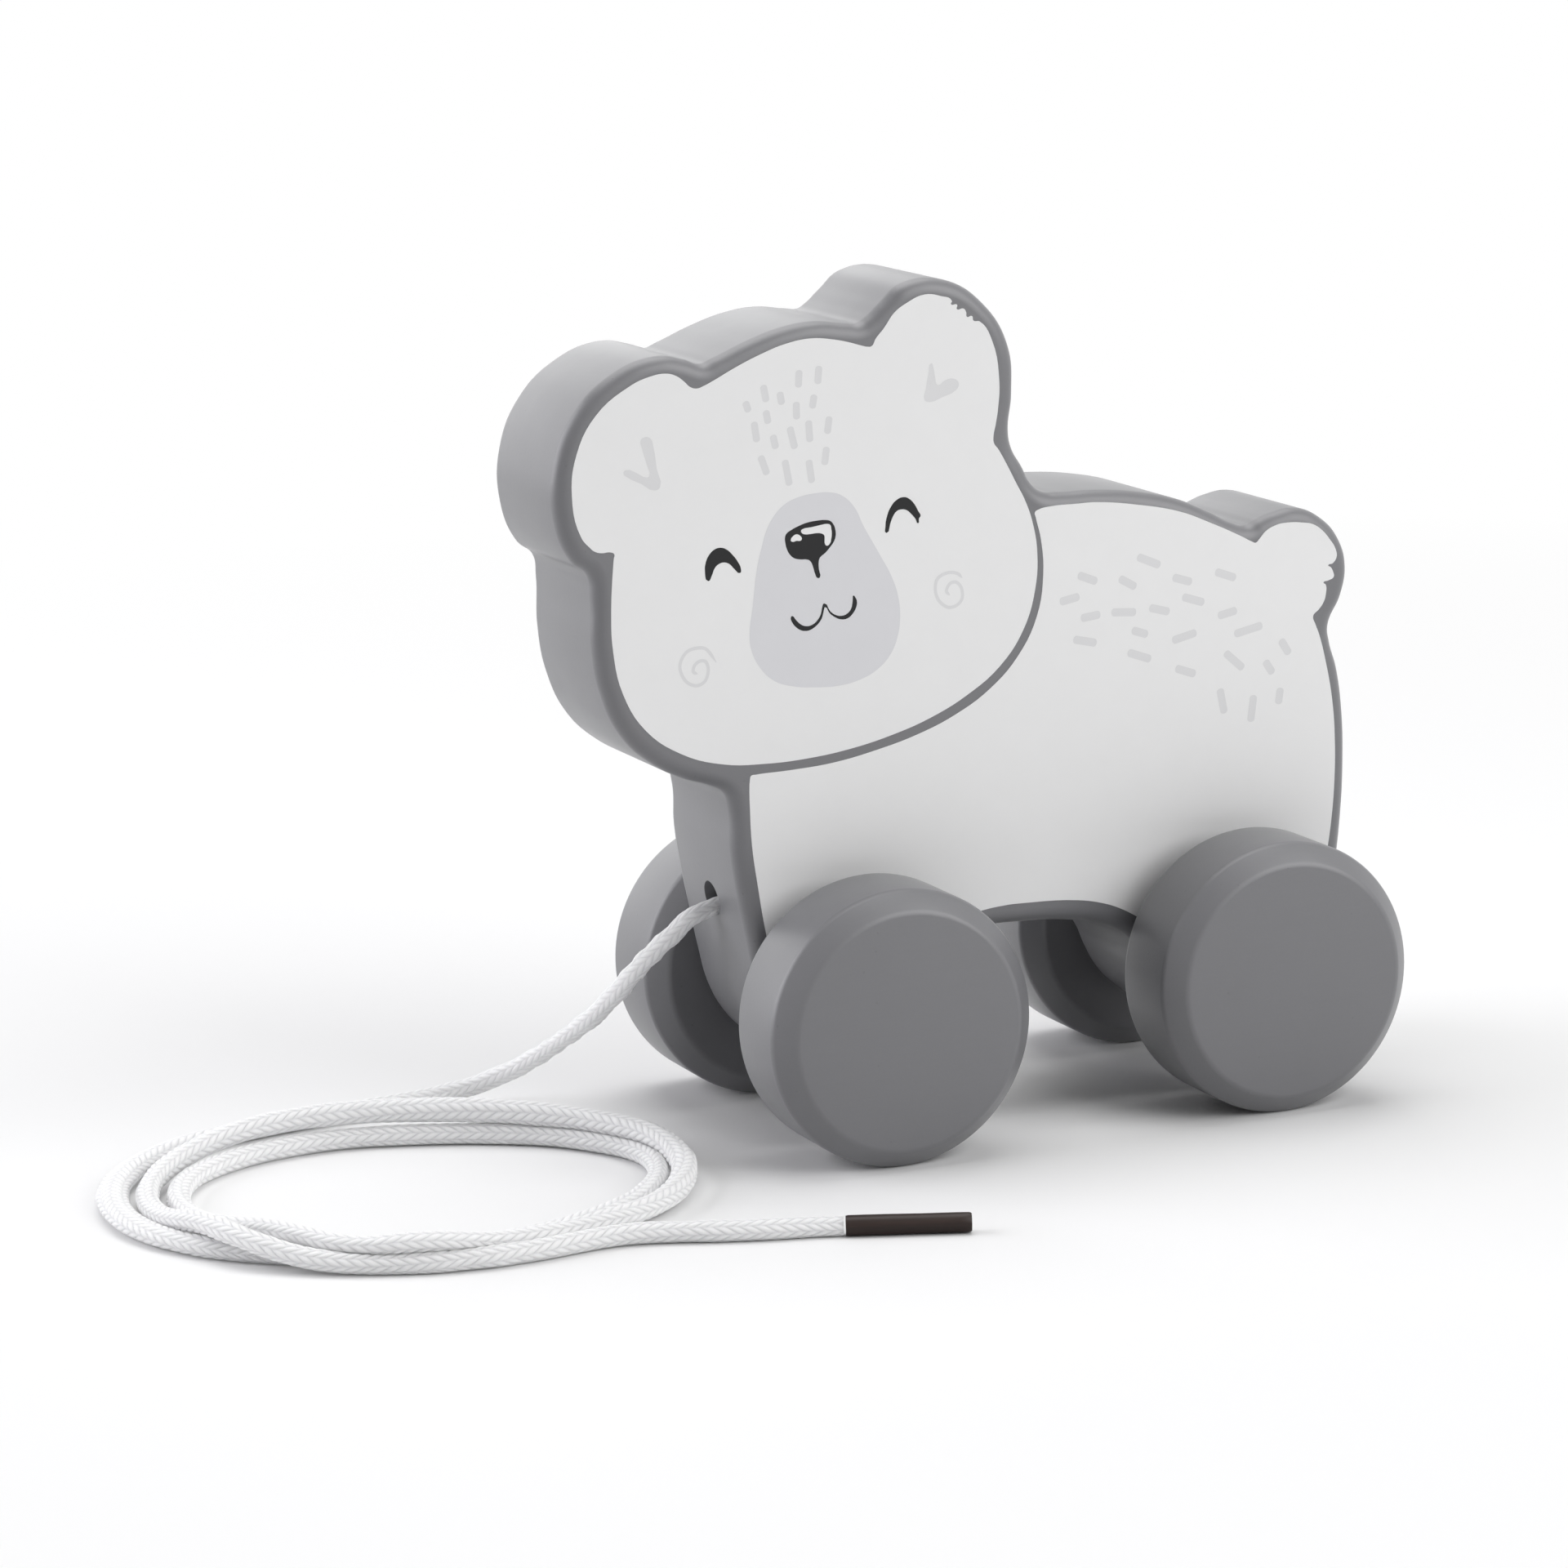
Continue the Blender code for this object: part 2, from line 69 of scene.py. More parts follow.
# Knots of the outline in millimetres, from under the chin down the chest and round the bear.
BEAR_OUTLINE = [
    (-37.09, 49.98), (-36.94, 43.99), (-36.16, 38.01), (-34.94, 31.51), (-33.76, 25.51),
    (-32.18, 19.51), (-29.79, 15.20), (-27.50, 12.71), (-23.31, 9.82), (-18.26, 9.16),
    (-13.46, 10.86), (-9.96, 14.55), (-8.80, 19.00), (-7.00, 23.80), (-3.60, 27.20), (1.10, 28.30),
    (8.00, 28.40), (15.00, 27.91), (21.00, 26.60), (25.20, 24.61), (27.50, 21.60), (28.99, 18.21),
    (30.89, 14.80), (33.40, 12.08), (37.33, 9.43), (42.00, 8.61), (46.60, 9.75), (50.99, 12.01),
    (55.45, 16.83), (58.45, 23.56), (60.12, 30.56), (61.21, 38.55), (61.67, 46.51), (61.49, 54.47),
    (60.59, 60.93), (59.42, 64.94), (59.21, 67.24), (61.33, 71.56), (62.15, 75.81), (61.00, 79.98),
    (58.29, 83.13), (54.20, 85.03), (49.71, 84.66), (47.49, 83.94), (45.68, 83.20), (43.25, 83.90),
    (39.86, 85.66), (34.30, 88.09), (27.49, 89.75), (20.79, 90.50), (15.50, 90.63), (12.79, 90.96),
    (10.97, 92.38), (9.53, 94.96), (7.96, 97.72), (7.52, 100.20), (8.14, 105.40), (7.64, 112.44),
    (3.97, 118.45), (-2.02, 122.24), (-8.92, 122.15), (-12.21, 119.61), (-14.24, 117.90),
    (-15.65, 117.14), (-17.75, 117.29), (-22.40, 117.87), (-27.38, 117.32), (-32.72, 115.74),
    (-37.59, 113.84), (-39.70, 113.19), (-41.94, 113.96), (-46.39, 114.70), (-53.35, 112.34),
    (-58.76, 107.50), (-61.81, 100.78), (-62.05, 93.19), (-59.77, 87.27), (-57.41, 85.14),
    (-57.00, 82.01), (-57.03, 75.01), (-55.93, 68.22), (-52.97, 61.82), (-48.59, 57.61),
    (-43.51, 54.87), (-40.02, 53.66), (-37.86, 52.35)]

# What the paint's patterns measure. The spray's skin and its pores are finer in life, and are
# drawn as coarse as they need to show.
SPRAY_CLOUDS = 14 * MM
GRAIN_LENGTH, GRAIN_WIDTH = 9 * MM, 0.7 * MM
DUST_SPACING = 3.4 * MM
SPRAY_SKIN = 0.55 * MM
PAINT_PORES = 0.22 * MM


def add_node(tree, kind, inputs=(), **settings):
    """A shader node; each input is a value or the output of another node."""
    made = tree.nodes.new(kind)
    for name, value in settings.items():
        setattr(made, name, value)
    for key, value in dict(inputs).items():
        if isinstance(value, bpy.types.NodeSocket):
            tree.links.new(value, made.inputs[key])
        else:
            made.inputs[key].default_value = value
    return made


def linear(code, share=1.0):
    """A share of the colour of an sRGB hex code such as #7b7b7d, for a shader's socket."""
    parts = [int(code[i:i + 2], 16) / 255 for i in (1, 3, 5)]
    parts = [c / 12.92 if c <= 0.04045 else ((c + 0.055) / 1.055) ** 2.4 for c in parts]
    return (*[min(1.0, c * share) for c in parts], 1.0)


def streaked_surface(name, colour, spread, roughness, streaks, lacquer, turned=0.0):
    """A dull surface: cloudy by the spread, with streaks along it, pores and a few dust specks.

    The streaks run along X, turned by the angle. Lacquer is the weight of a clear satin coat.
    """
    material = bpy.data.materials.new(name)
    material.use_nodes = True
    tree = material.node_tree
    shader = tree.nodes["Principled BSDF"]
    place = add_node(tree, "ShaderNodeTexCoord").outputs["Object"]

    clouds = add_node(tree, "ShaderNodeTexNoise", {
        "Vector": place, "Scale": 1 / SPRAY_CLOUDS, "Detail": 3.0, "Roughness": 0.6})
    tone = add_node(tree, "ShaderNodeMix", {
        0: clouds.outputs["Fac"], 6: linear(colour, 1 - spread), 7: linear(colour, 1 + spread)},
        data_type="RGBA")
    along = add_node(tree, "ShaderNodeMapping", {
        "Vector": place, "Rotation": (0.0, 0.0, turned),
        "Scale": (GRAIN_LENGTH, GRAIN_WIDTH, GRAIN_WIDTH)}, vector_type="TEXTURE")
    grain = add_node(tree, "ShaderNodeTexNoise", {
        "Vector": along.outputs["Vector"], "Scale": 1.0, "Detail": 4.0, "Roughness": 0.65})
    # Noise lies mostly between 0.3 and 0.7.
    grain_tone = add_node(tree, "ShaderNodeMapRange", {
        "Value": grain.outputs["Fac"], "From Min": 0.3, "From Max": 0.7,
        "To Min": 1 - streaks, "To Max": 1 + streaks})
    grained = add_node(tree, "ShaderNodeVectorMath", {
        0: tone.outputs[2], "Scale": grain_tone.outputs["Result"]}, operation="SCALE")

    # Pores shade the tone by 4% to each side, and a dust speck darkens it by 12%.
    pores = add_node(tree, "ShaderNodeTexNoise", {"Vector": place, "Scale": 1 / PAINT_PORES})
    pore_tone = add_node(tree, "ShaderNodeMath", {
        0: pores.outputs["Fac"], 1: 0.08, 2: 0.96}, operation="MULTIPLY_ADD")
    dust = add_node(tree, "ShaderNodeTexVoronoi", {
        "Vector": place, "Scale": 1 / DUST_SPACING, "Randomness": 1.0})
    specks = add_node(tree, "ShaderNodeMapRange", {
        "Value": dust.outputs["Distance"], "From Min": 0.03, "From Max": 0.06,
        "To Min": 1.0, "To Max": 0.0})
    speck_tone = add_node(tree, "ShaderNodeMath", {
        0: specks.outputs["Result"], 1: -0.12, 2: pore_tone.outputs["Value"]},
        operation="MULTIPLY_ADD")
    specked = add_node(tree, "ShaderNodeVectorMath", {
        0: grained.outputs["Vector"], "Scale": speck_tone.outputs["Value"]}, operation="SCALE")
    tree.links.new(specked.outputs["Vector"], shader.inputs["Base Color"])

    dullness = add_node(tree, "ShaderNodeMapRange", {
        "Value": clouds.outputs["Fac"], "From Min": 0.3, "From Max": 0.7,
        "To Min": roughness - 0.05, "To Max": roughness + 0.05})
    tree.links.new(dullness.outputs["Result"], shader.inputs["Roughness"])
    shader.inputs["Specular IOR Level"].default_value = 0.3
    shader.inputs["Coat Weight"].default_value = lacquer
    shader.inputs["Coat Roughness"].default_value = 0.4

    skin = add_node(tree, "ShaderNodeTexNoise", {
        "Vector": place, "Scale": 1 / SPRAY_SKIN, "Detail": 2.0, "Roughness": 0.5})
    skin_bump = add_node(tree, "ShaderNodeBump", {
        "Height": skin.outputs["Fac"], "Strength": 0.35, "Distance": 0.03 * MM})
    grain_bump = add_node(tree, "ShaderNodeBump", {
        "Height": grain.outputs["Fac"], "Strength": 0.3, "Distance": 0.04 * MM,
        "Normal": skin_bump.outputs["Normal"]})
    speck_bump = add_node(tree, "ShaderNodeBump", {
        "Height": specks.outputs["Result"], "Strength": 0.6, "Distance": 0.04 * MM,
        "Normal": grain_bump.outputs["Normal"]})
    tree.links.new(speck_bump.outputs["Normal"], shader.inputs["Normal"])
    return material


def smooth_outline(knots, detail):
    """Points along the smooth closed line through the knots, all in (x, z)."""
    curve = bpy.data.curves.new("outline", "CURVE")
    curve.dimensions = "2D"
    curve.fill_mode = "NONE"
    curve.resolution_u = detail
    spline = curve.splines.new("BEZIER")
    spline.bezier_points.add(len(knots) - 1)
    for point, (x, z) in zip(spline.bezier_points, knots):
        point.co = (x * MM, z * MM, 0.0)
        point.handle_left_type = "AUTO"
        point.handle_right_type = "AUTO"
    spline.use_cyclic_u = True
    holder = bpy.data.objects.new("outline", curve)
    bpy.context.scene.collection.objects.link(holder)
    seen = holder.evaluated_get(bpy.context.evaluated_depsgraph_get())
    points = [(v.co.x, v.co.y) for v in bpy.data.meshes.new_from_object(seen).vertices]
    bpy.data.objects.remove(holder, do_unlink=True)
    return points


def flat_plates(shapes, front_y, back_y):
    """Closed plates, one for each outline in (x, z), between the two depths, as a bmesh."""
    bm = bmesh.new()
    fronts = [bm.faces.new([bm.verts.new((x, front_y, z)) for x, z in shape]) for shape in shapes]
    grown = bmesh.ops.extrude_face_region(bm, geom=fronts)["geom"]
    bmesh.ops.translate(bm, verts=[v for v in grown if isinstance(v, bmesh.types.BMVert)],
                        vec=(0, back_y - front_y, 0))
    bmesh.ops.recalc_face_normals(bm, faces=bm.faces)
    return bm


def shade_smoothly(mesh, sharp_degrees):
    """Shades the mesh smooth but for edges sharper than the angle."""
    mesh.shade_smooth()
    mesh.set_sharp_from_angle(angle=math.radians(sharp_degrees))


def new_piece(name, bm, material, sharp_degrees=SHARP_DEGREES):
    """The bmesh as an object at the origin."""
    mesh = bpy.data.meshes.new(name)
    bm.to_mesh(mesh)
    bm.free()
    mesh.materials.append(material)
    shade_smoothly(mesh, sharp_degrees)
    piece = bpy.data.objects.new(name, mesh)
    bpy.context.scene.collection.objects.link(piece)
    return piece


def drill(piece, radius, length, direction, centre):
    """Takes a round bar about the centre, along the direction, out of the piece for good."""
    bm = bmesh.new()
    turn = Vector(direction).to_track_quat("Z", "Y").to_matrix().to_4x4()
    bmesh.ops.create_cone(bm, cap_ends=True, segments=BORE_SEGMENTS, radius1=radius,
                          radius2=radius, depth=length, matrix=Matrix.Translation(centre) @ turn)
    drill_bit = new_piece("drill_bit", bm, piece.data.materials[0])
    cut = piece.modifiers.new("bore", "BOOLEAN")
    cut.operation = "DIFFERENCE"
    cut.solver = "EXACT"
    cut.object = drill_bit
    bpy.context.view_layer.update()
    seen = piece.evaluated_get(bpy.context.evaluated_depsgraph_get())
    bored = bpy.data.meshes.new_from_object(seen)
    piece.modifiers.remove(cut)
    piece.data = bored
    bpy.data.objects.remove(drill_bit, do_unlink=True)


# Acrylic paint sprayed on sanded beech and sealed with satin lacquer: an even, slightly cool grey
# with a soft sheen, in which the grain shows only as faint lines.
sprayed_grey_paint = streaked_surface(
    "sprayed_grey_paint", "#6b6b6e", spread=0.03, roughness=0.5, streaks=0.008, lacquer=0.9)

bm = flat_plates([smooth_outline(BEAR_OUTLINE, OUTLINE_DETAIL)],
                 -BOARD_THICKNESS / 2, BOARD_THICKNESS / 2)
rims = [e for e in bm.edges if e.verts[0].co.y * e.verts[1].co.y > 0]
bmesh.ops.bevel(bm, geom=rims, offset=RIM_ROUNDING, offset_type="OFFSET", segments=RIM_STEPS,
                profile=0.5, affect="EDGES", material=-1, clamp_overlap=False)
flats = [f for f in bm.faces if len(f.verts) > 4]
bmesh.ops.inset_region(bm, faces=flats, thickness=FLAT_MARGIN, use_boundary=True,
                       use_even_offset=True)
board = new_piece("sawn_board", bm, sprayed_grey_paint)
for axle_x in (FRONT_AXLE_X, REAR_AXLE_X):
    drill(board, AXLE_BORE_RADIUS, 2 * BOARD_THICKNESS, (0, 1, 0), (axle_x, 0, AXLE_Z))
drill(board, CORD_BORE_RADIUS, 2 * CORD_BORE_DEPTH, (1, 0, 0), (CHEST_X, 0, CORD_BORE_Z))
shade_smoothly(board.data, SHARP_DEGREES)
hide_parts("bear_board")
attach(board, "body")


# The prints: thin matt ink on both flat faces of the board. The white head and coat come first,
# then the grey muzzle and the pale marks, the dark lines of the face, and the nose's glints last.

INK_THICKNESS = 0.03 * MM
# How many thicknesses each print stands proud, so that it covers those before it.
WHITE_COAT, GREY_COAT, DARK_COAT, GLINT_COAT = 1.0, 1.4, 1.8, 2.2
FOREHEAD_TICK_WIDTH = 1.05 * MM
FLANK_TICK_WIDTH = 1.2 * MM
TICK_BLUNTNESS = 0.75
CURL_WIDTH = 0.48 * MM
FIELD_DETAIL, MARK_DETAIL, CURL_DETAIL = 5, 3, 6

# The ink's mottling, and the paint's skin that shows through it, again coarser than in life.
INK_MOTTLE = 5 * MM
INK_SKIN = 0.5 * MM

# Outlines and lines of the prints in millimetres, and the ends of each tick.
HEAD_FIELD = [
    (-5.9, 120.6), (-3.4, 120.2), (-1.7, 119.4), (-1.85, 118.95), (-0.9, 118.8), (-0.95, 118.2),
    (0.1, 118.2), (0.5, 117.65), (0.6, 117.0), (1.4, 117.05), (1.6, 116.4), (2.6, 116.2),
    (4.5, 113.3), (5.5, 107.5), (5.25, 103.7), (4.83, 101.4), (4.45, 99.7), (4.52, 98.75),
    (5.15, 97.88), (6.3, 95.9), (7.8, 93.0), (9.4, 89.9), (10.5, 86.6), (11.1, 82.4),
    (10.7, 77.3), (8.7, 71.5), (4.9, 66.6), (-0.4, 62.9), (-6.2, 60.2), (-12.4, 58.3),
    (-18.8, 57.0), (-25.4, 56.3), (-32.0, 56.2), (-38.5, 56.8), (-44.7, 58.9), (-50.0, 62.8),
    (-53.2, 68.2), (-54.5, 74.3), (-54.6, 80.3), (-54.0, 87.3), (-53.9, 88.0), (-54.5, 88.3),
    (-55.8, 88.3), (-56.8, 88.6), (-57.5, 89.2), (-58.7, 90.7), (-59.9, 96.5), (-59.0, 102.3),
    (-56.0, 107.4), (-51.0, 111.0), (-48.1, 112.1), (-45.3, 112.4), (-43.8, 111.9), (-42.7, 111.05),
    (-41.9, 110.3), (-40.9, 110.0), (-39.8, 110.3), (-38.5, 110.85), (-35.0, 112.5), (-31.0, 114.1),
    (-27.4, 115.2), (-23.5, 115.7), (-20.1, 115.3), (-17.6, 114.7), (-15.7, 114.1), (-14.9, 113.9),
    (-14.2, 113.95), (-13.6, 114.9), (-12.3, 116.3), (-10.6, 118.4), (-8.7, 119.6)]

COAT_FIELD = [
    (10.93, 87.6), (10.81, 88.27), (11.47, 88.68), (13.2, 88.95), (17.7, 88.97), (20.4, 88.95),
    (27.3, 88.0), (34.2, 86.4), (39.0, 84.4), (44.15, 81.94), (45.9, 81.0), (46.5, 80.8),
    (47.1, 81.3), (48.1, 82.3), (49.9, 83.1), (51.7, 83.3), (54.2, 83.1), (56.0, 82.7),
    (57.6, 81.6), (58.8, 80.2), (59.7, 78.8), (59.9, 77.5), (59.2, 76.6), (58.5, 76.4),
    (58.9, 76.1), (59.3, 75.4), (59.4, 74.6), (58.5, 74.15), (57.7, 73.9), (58.05, 73.6),
    (58.1, 72.3), (57.7, 71.0), (56.9, 70.0), (55.95, 69.1), (56.3, 67.9), (56.9, 66.4),
    (58.1, 61.8), (59.1, 56.2), (59.5, 50.5), (59.4, 44.1), (58.8, 37.8), (58.0, 33.0),
    (56.9, 27.6), (54.6, 20.9), (51.0, 15.6), (46.3, 12.6), (42.0, 11.2), (38.2, 11.9),
    (35.1, 14.0), (32.8, 16.9), (31.2, 20.0), (29.7, 23.6), (27.9, 26.3), (26.2, 27.5),
    (23.5, 29.0), (20.9, 30.0), (16.9, 30.9), (7.7, 31.5), (5.1, 31.5), (0.6, 31.0),
    (-5.1, 29.3), (-9.2, 25.3), (-11.3, 19.8), (-12.3, 15.9), (-14.9, 13.1), (-18.6, 11.8),
    (-22.6, 12.3), (-25.8, 14.6), (-27.6, 16.8), (-29.7, 20.6), (-31.2, 26.0), (-32.5, 31.6),
    (-33.7, 39.4), (-34.3, 44.2), (-34.5, 48.9), (-34.4, 54.2), (-34.2, 54.7), (-33.5, 54.8),
    (-27.9, 54.9), (-21.3, 55.3), (-14.8, 56.4), (-8.3, 58.0), (-2.2, 60.3), (3.3, 63.5),
    (7.8, 67.8), (10.9, 73.3), (12.0, 79.3), (11.7, 84.4)]

MUZZLE = [
    (-21.03, 93.85), (-23.12, 93.94), (-26.04, 93.57), (-28.15, 92.72), (-29.85, 91.13),
    (-30.94, 89.3), (-31.83, 86.69), (-32.46, 84.41), (-33.27, 79.12), (-33.92, 74.62),
    (-33.67, 72.55), (-32.4, 69.91), (-30.22, 67.84), (-27.56, 66.86), (-23.97, 66.36),
    (-20.39, 66.24), (-17.21, 66.76), (-14.43, 67.95), (-12.35, 69.86), (-11.16, 72.27),
    (-10.66, 75.35), (-10.94, 78.31), (-11.88, 81.12), (-13.64, 84.39), (-16.01, 88.59),
    (-17.52, 91.62), (-19.37, 93.31)]

LEFT_EYE = [
    (-39.95, 82.96), (-40.41, 84.38), (-40.25, 85.63), (-39.73, 86.62), (-38.84, 87.35),
    (-37.97, 87.5), (-37.11, 87.2), (-36.15, 86.3), (-35.43, 85.32), (-34.97, 84.24),
    (-35.11, 83.68), (-35.96, 84.33), (-36.68, 85.08), (-37.41, 85.38), (-38.28, 85.23),
    (-38.92, 84.71), (-39.44, 83.61)]

RIGHT_EYE = [
    (-12.56, 87.36), (-12.67, 88.3), (-12.38, 89.79), (-11.85, 90.9), (-10.94, 91.87),
    (-9.79, 92.24), (-8.91, 91.93), (-8.16, 91.17), (-7.54, 90.07), (-7.18, 89.34), (-7.44, 89.01),
    (-7.58, 88.32), (-7.95, 88.94), (-8.7, 89.82), (-9.32, 90.34), (-10.08, 90.52),
    (-10.85, 90.35), (-11.5, 89.59), (-11.9, 88.7)]

NOSE = [
    (-28.16, 88.05), (-27.91, 88.6), (-27.31, 88.99), (-26.05, 89.52), (-24.62, 89.91),
    (-23.22, 90.04), (-21.8, 90.01), (-21.18, 89.83), (-20.72, 89.35), (-20.39, 88.39),
    (-20.41, 87.52), (-20.71, 86.81), (-21.26, 86.14), (-22.07, 85.35), (-22.87, 84.77),
    (-23.07, 84.27), (-23.07, 83.11), (-22.97, 81.94), (-23.38, 81.95), (-23.64, 82.43),
    (-24, 83.63), (-24.3, 84.31), (-24.75, 84.64), (-25.85, 84.77), (-26.79, 85.01),
    (-27.47, 85.6), (-27.92, 86.44), (-28.13, 87.33)]

MOUTH = [
    (-27.55, 76.69), (-27.4, 76.03), (-26.72, 75.16), (-26.1, 74.74), (-25.48, 74.56),
    (-24.69, 74.61), (-23.73, 75.1), (-22.93, 75.9), (-22.6, 76.68), (-22.39, 77.46),
    (-22.26, 77.66), (-21.65, 76.81), (-20.72, 76.06), (-19.79, 75.68), (-18.84, 75.74),
    (-18.03, 76.32), (-17.46, 77.21), (-17.33, 78.08), (-17.51, 78.54), (-17.89, 78.91),
    (-17.95, 78.58), (-18.03, 77.85), (-18.25, 77.08), (-18.82, 76.46), (-19.77, 76.19),
    (-20.71, 76.43), (-21.48, 77), (-22.4, 78.22), (-22.7, 77.7), (-22.91, 76.84), (-23.32, 76.09),
    (-24.36, 75.31), (-25.46, 75.27), (-26.23, 75.7), (-26.84, 76.34), (-27.33, 76.87)]

GLINT_SMALL = [
    (-27.29, 87.61), (-26.85, 88.22), (-26.39, 88.38), (-25.84, 88.13), (-25.59, 87.68),
    (-25.79, 87.43), (-26.41, 87.46), (-26.96, 87.36), (-27.22, 87.47)]

GLINT_HOOK = [
    (-25.68, 88.85), (-25.43, 89.04), (-24.18, 89.18), (-22.6, 89.38), (-21.66, 89.45),
    (-21.19, 89.26), (-21.05, 88.73), (-20.99, 88), (-21.09, 87.29), (-21.25, 86.72),
    (-21.74, 86.36), (-22.07, 86.64), (-22.1, 87.38), (-22.16, 87.89), (-22.63, 88.18),
    (-23.26, 88.28), (-24.2, 88.24), (-25.14, 88.27), (-25.57, 88.48)]

LEFT_EAR_MARK = [
    (-49.51, 103.43), (-49.01, 103.84), (-48.05, 103.65), (-47.6, 102.37), (-47.2, 99.27),
    (-46.79, 96.73), (-47.66, 96.34), (-49.58, 97.41), (-51.61, 98.49), (-52.2, 99.11),
    (-51.82, 99.53), (-50.14, 98.94), (-48.7, 98.25), (-48.33, 98.45), (-48.65, 99.95),
    (-49.31, 102.28)]

RIGHT_EAR_MARK = [
    (-5.09, 110.86), (-5.53, 109.54), (-6.01, 107.27), (-6.25, 105.75), (-5.41, 105.37),
    (-3.49, 105.92), (-1.35, 106.73), (-0.82, 107.65), (-1.57, 108.4), (-3.02, 108.28),
    (-4.13, 107.71), (-4.5, 108.74), (-4.76, 110.26)]

LEFT_CURL = [
    (-39.05, 71.39), (-40.31, 73.18), (-41.39, 73.68), (-43.19, 73.46), (-44.3, 72.31),
    (-44.56, 70.89), (-43.74, 69.16), (-42.23, 68.39), (-40.87, 68.88), (-40.32, 70.29),
    (-40.58, 71.54), (-41.45, 71.83), (-42.34, 71.3), (-42.59, 70.41), (-41.93, 70.02)]

RIGHT_CURL = [
    (-0.83, 79.9), (-1.62, 80.6), (-3, 80.85), (-4.6, 80.24), (-5.09, 78.81), (-4.66, 77.11),
    (-3.31, 75.93), (-1.85, 76), (-0.9, 76.96), (-0.99, 78.44), (-1.78, 79.36), (-2.79, 79.24),
    (-3.36, 78.25), (-2.82, 77.56)]

FOREHEAD_TICKS = [
    (-25.39, 111.42, -25.58, 108.96), (-22.35, 111.77, -22.62, 109.22),
    (-30.9, 109.74, -30.47, 107.31), (-28.45, 108.6, -28.12, 106.75),
    (-23.19, 107.82, -23.54, 105.86), (-25.95, 107.01, -25.94, 104.52),
    (-33.71, 107.67, -33.17, 106.11), (-30.62, 106.18, -30.25, 104.25),
    (-20.95, 104.59, -21.33, 102.12), (-32.43, 104.72, -32.05, 101.83),
    (-27.04, 103.61, -26.29, 100.42), (-24.15, 104.27, -23.98, 101.19),
    (-29.63, 102.67, -29.19, 100.65), (-21.46, 100.34, -21.86, 97.76),
    (-31.6, 99.9, -30.61, 97.13), (-27.9, 99.02, -27.25, 95.32), (-24.25, 98.72, -23.84, 95.42)]

FLANK_TICKS = [
    (27.12, 80.46, 30.86, 78.85), (17.51, 78.66, 20.63, 77.39), (24.14, 77.6, 26.89, 76.01),
    (32.81, 76.96, 35.97, 75.93), (39.78, 77.15, 43.19, 75.88), (14.55, 74.97, 17.77, 75.53),
    (34.35, 73.95, 37.97, 72.75), (17.88, 72.29, 21.08, 72.61), (22.82, 72.72, 26.85, 72.39),
    (28.97, 72.83, 32.29, 71.92), (40.16, 70.55, 43.33, 71.16), (26.09, 69.83, 28.73, 68.9),
    (32.64, 67.63, 36.66, 68.51), (42.83, 67.62, 47.52, 68.55), (16.64, 69.37, 20.42, 68.47),
    (50.49, 66.15, 51.96, 63.8), (25.39, 66.64, 29.19, 65.23), (41.26, 65.12, 44.31, 62.4),
    (47.85, 63.24, 49.22, 61.17), (33.12, 63.56, 36.46, 62.34), (40.4, 59.83, 41.12, 56.05),
    (46, 58.31, 45.43, 54.37), (50.45, 58.97, 50.06, 56.53)]


def ink(name, shapes, coats, material):
    """Flat inked shapes, in (x, z), on both faces of the board and a little sunk into it."""
    face_y = -BOARD_THICKNESS / 2
    bm = flat_plates(shapes, face_y - coats * INK_THICKNESS, face_y + INK_THICKNESS)
    bmesh.ops.mirror(bm, geom=bm.verts[:] + bm.edges[:] + bm.faces[:], axis="Y", merge_dist=-1.0)
    bmesh.ops.recalc_face_normals(bm, faces=bm.faces)
    piece = new_piece(name, bm, material)
    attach(piece, "body")


def brush_tick(x0, z0, x1, z1, width):
    """A short straight dab with blunt round ends."""
    start, end = Vector((x0, z0)) * MM, Vector((x1, z1)) * MM
    along = (end - start).normalized() * width / 2
    across = Vector((-along.y, along.x))
    along *= TICK_BLUNTNESS
    half_round = [math.radians(a) for a in range(-90, 91, 22)]
    tip = [along * math.cos(a) + across * math.sin(a) for a in half_round]
    return [tuple(end - along + p) for p in tip] + [tuple(start + along - p) for p in tip]


def smooth_curve(points, samples):
    """A smooth curve through the points, with so many samples to each span."""
    p = [2 * points[0] - points[1]] + points + [2 * points[-1] - points[-2]]
    out = []
    for a, b, c, d in zip(p, p[1:], p[2:], p[3:]):
        for i in range(samples):
            t = i / samples
            out.append(0.5 * (2 * b + (c - a) * t + (2 * a - 5 * b + 4 * c - d) * t ** 2
                              + (3 * b - a - 3 * c + d) * t ** 3))
    out.append(points[-1])
    return out


def curl(points, width):
    """A thin line of even width along the points, which narrows to a fifth at its ends."""
    line = smooth_curve([Vector(p) * MM for p in points], CURL_DETAIL)
    left, right = [], []
    for i, here in enumerate(line):
        before, after = line[max(i - 1, 0)], line[min(i + 1, len(line) - 1)]
        across = Vector((before.y - after.y, after.x - before.x)).normalized()
        reach = width / 2 * min(1.0, 0.2 + i / 4, 0.2 + (len(line) - 1 - i) / 4)
        left.append(tuple(here + across * reach))
        right.append(tuple(here - across * reach))
    return left + right[::-1]


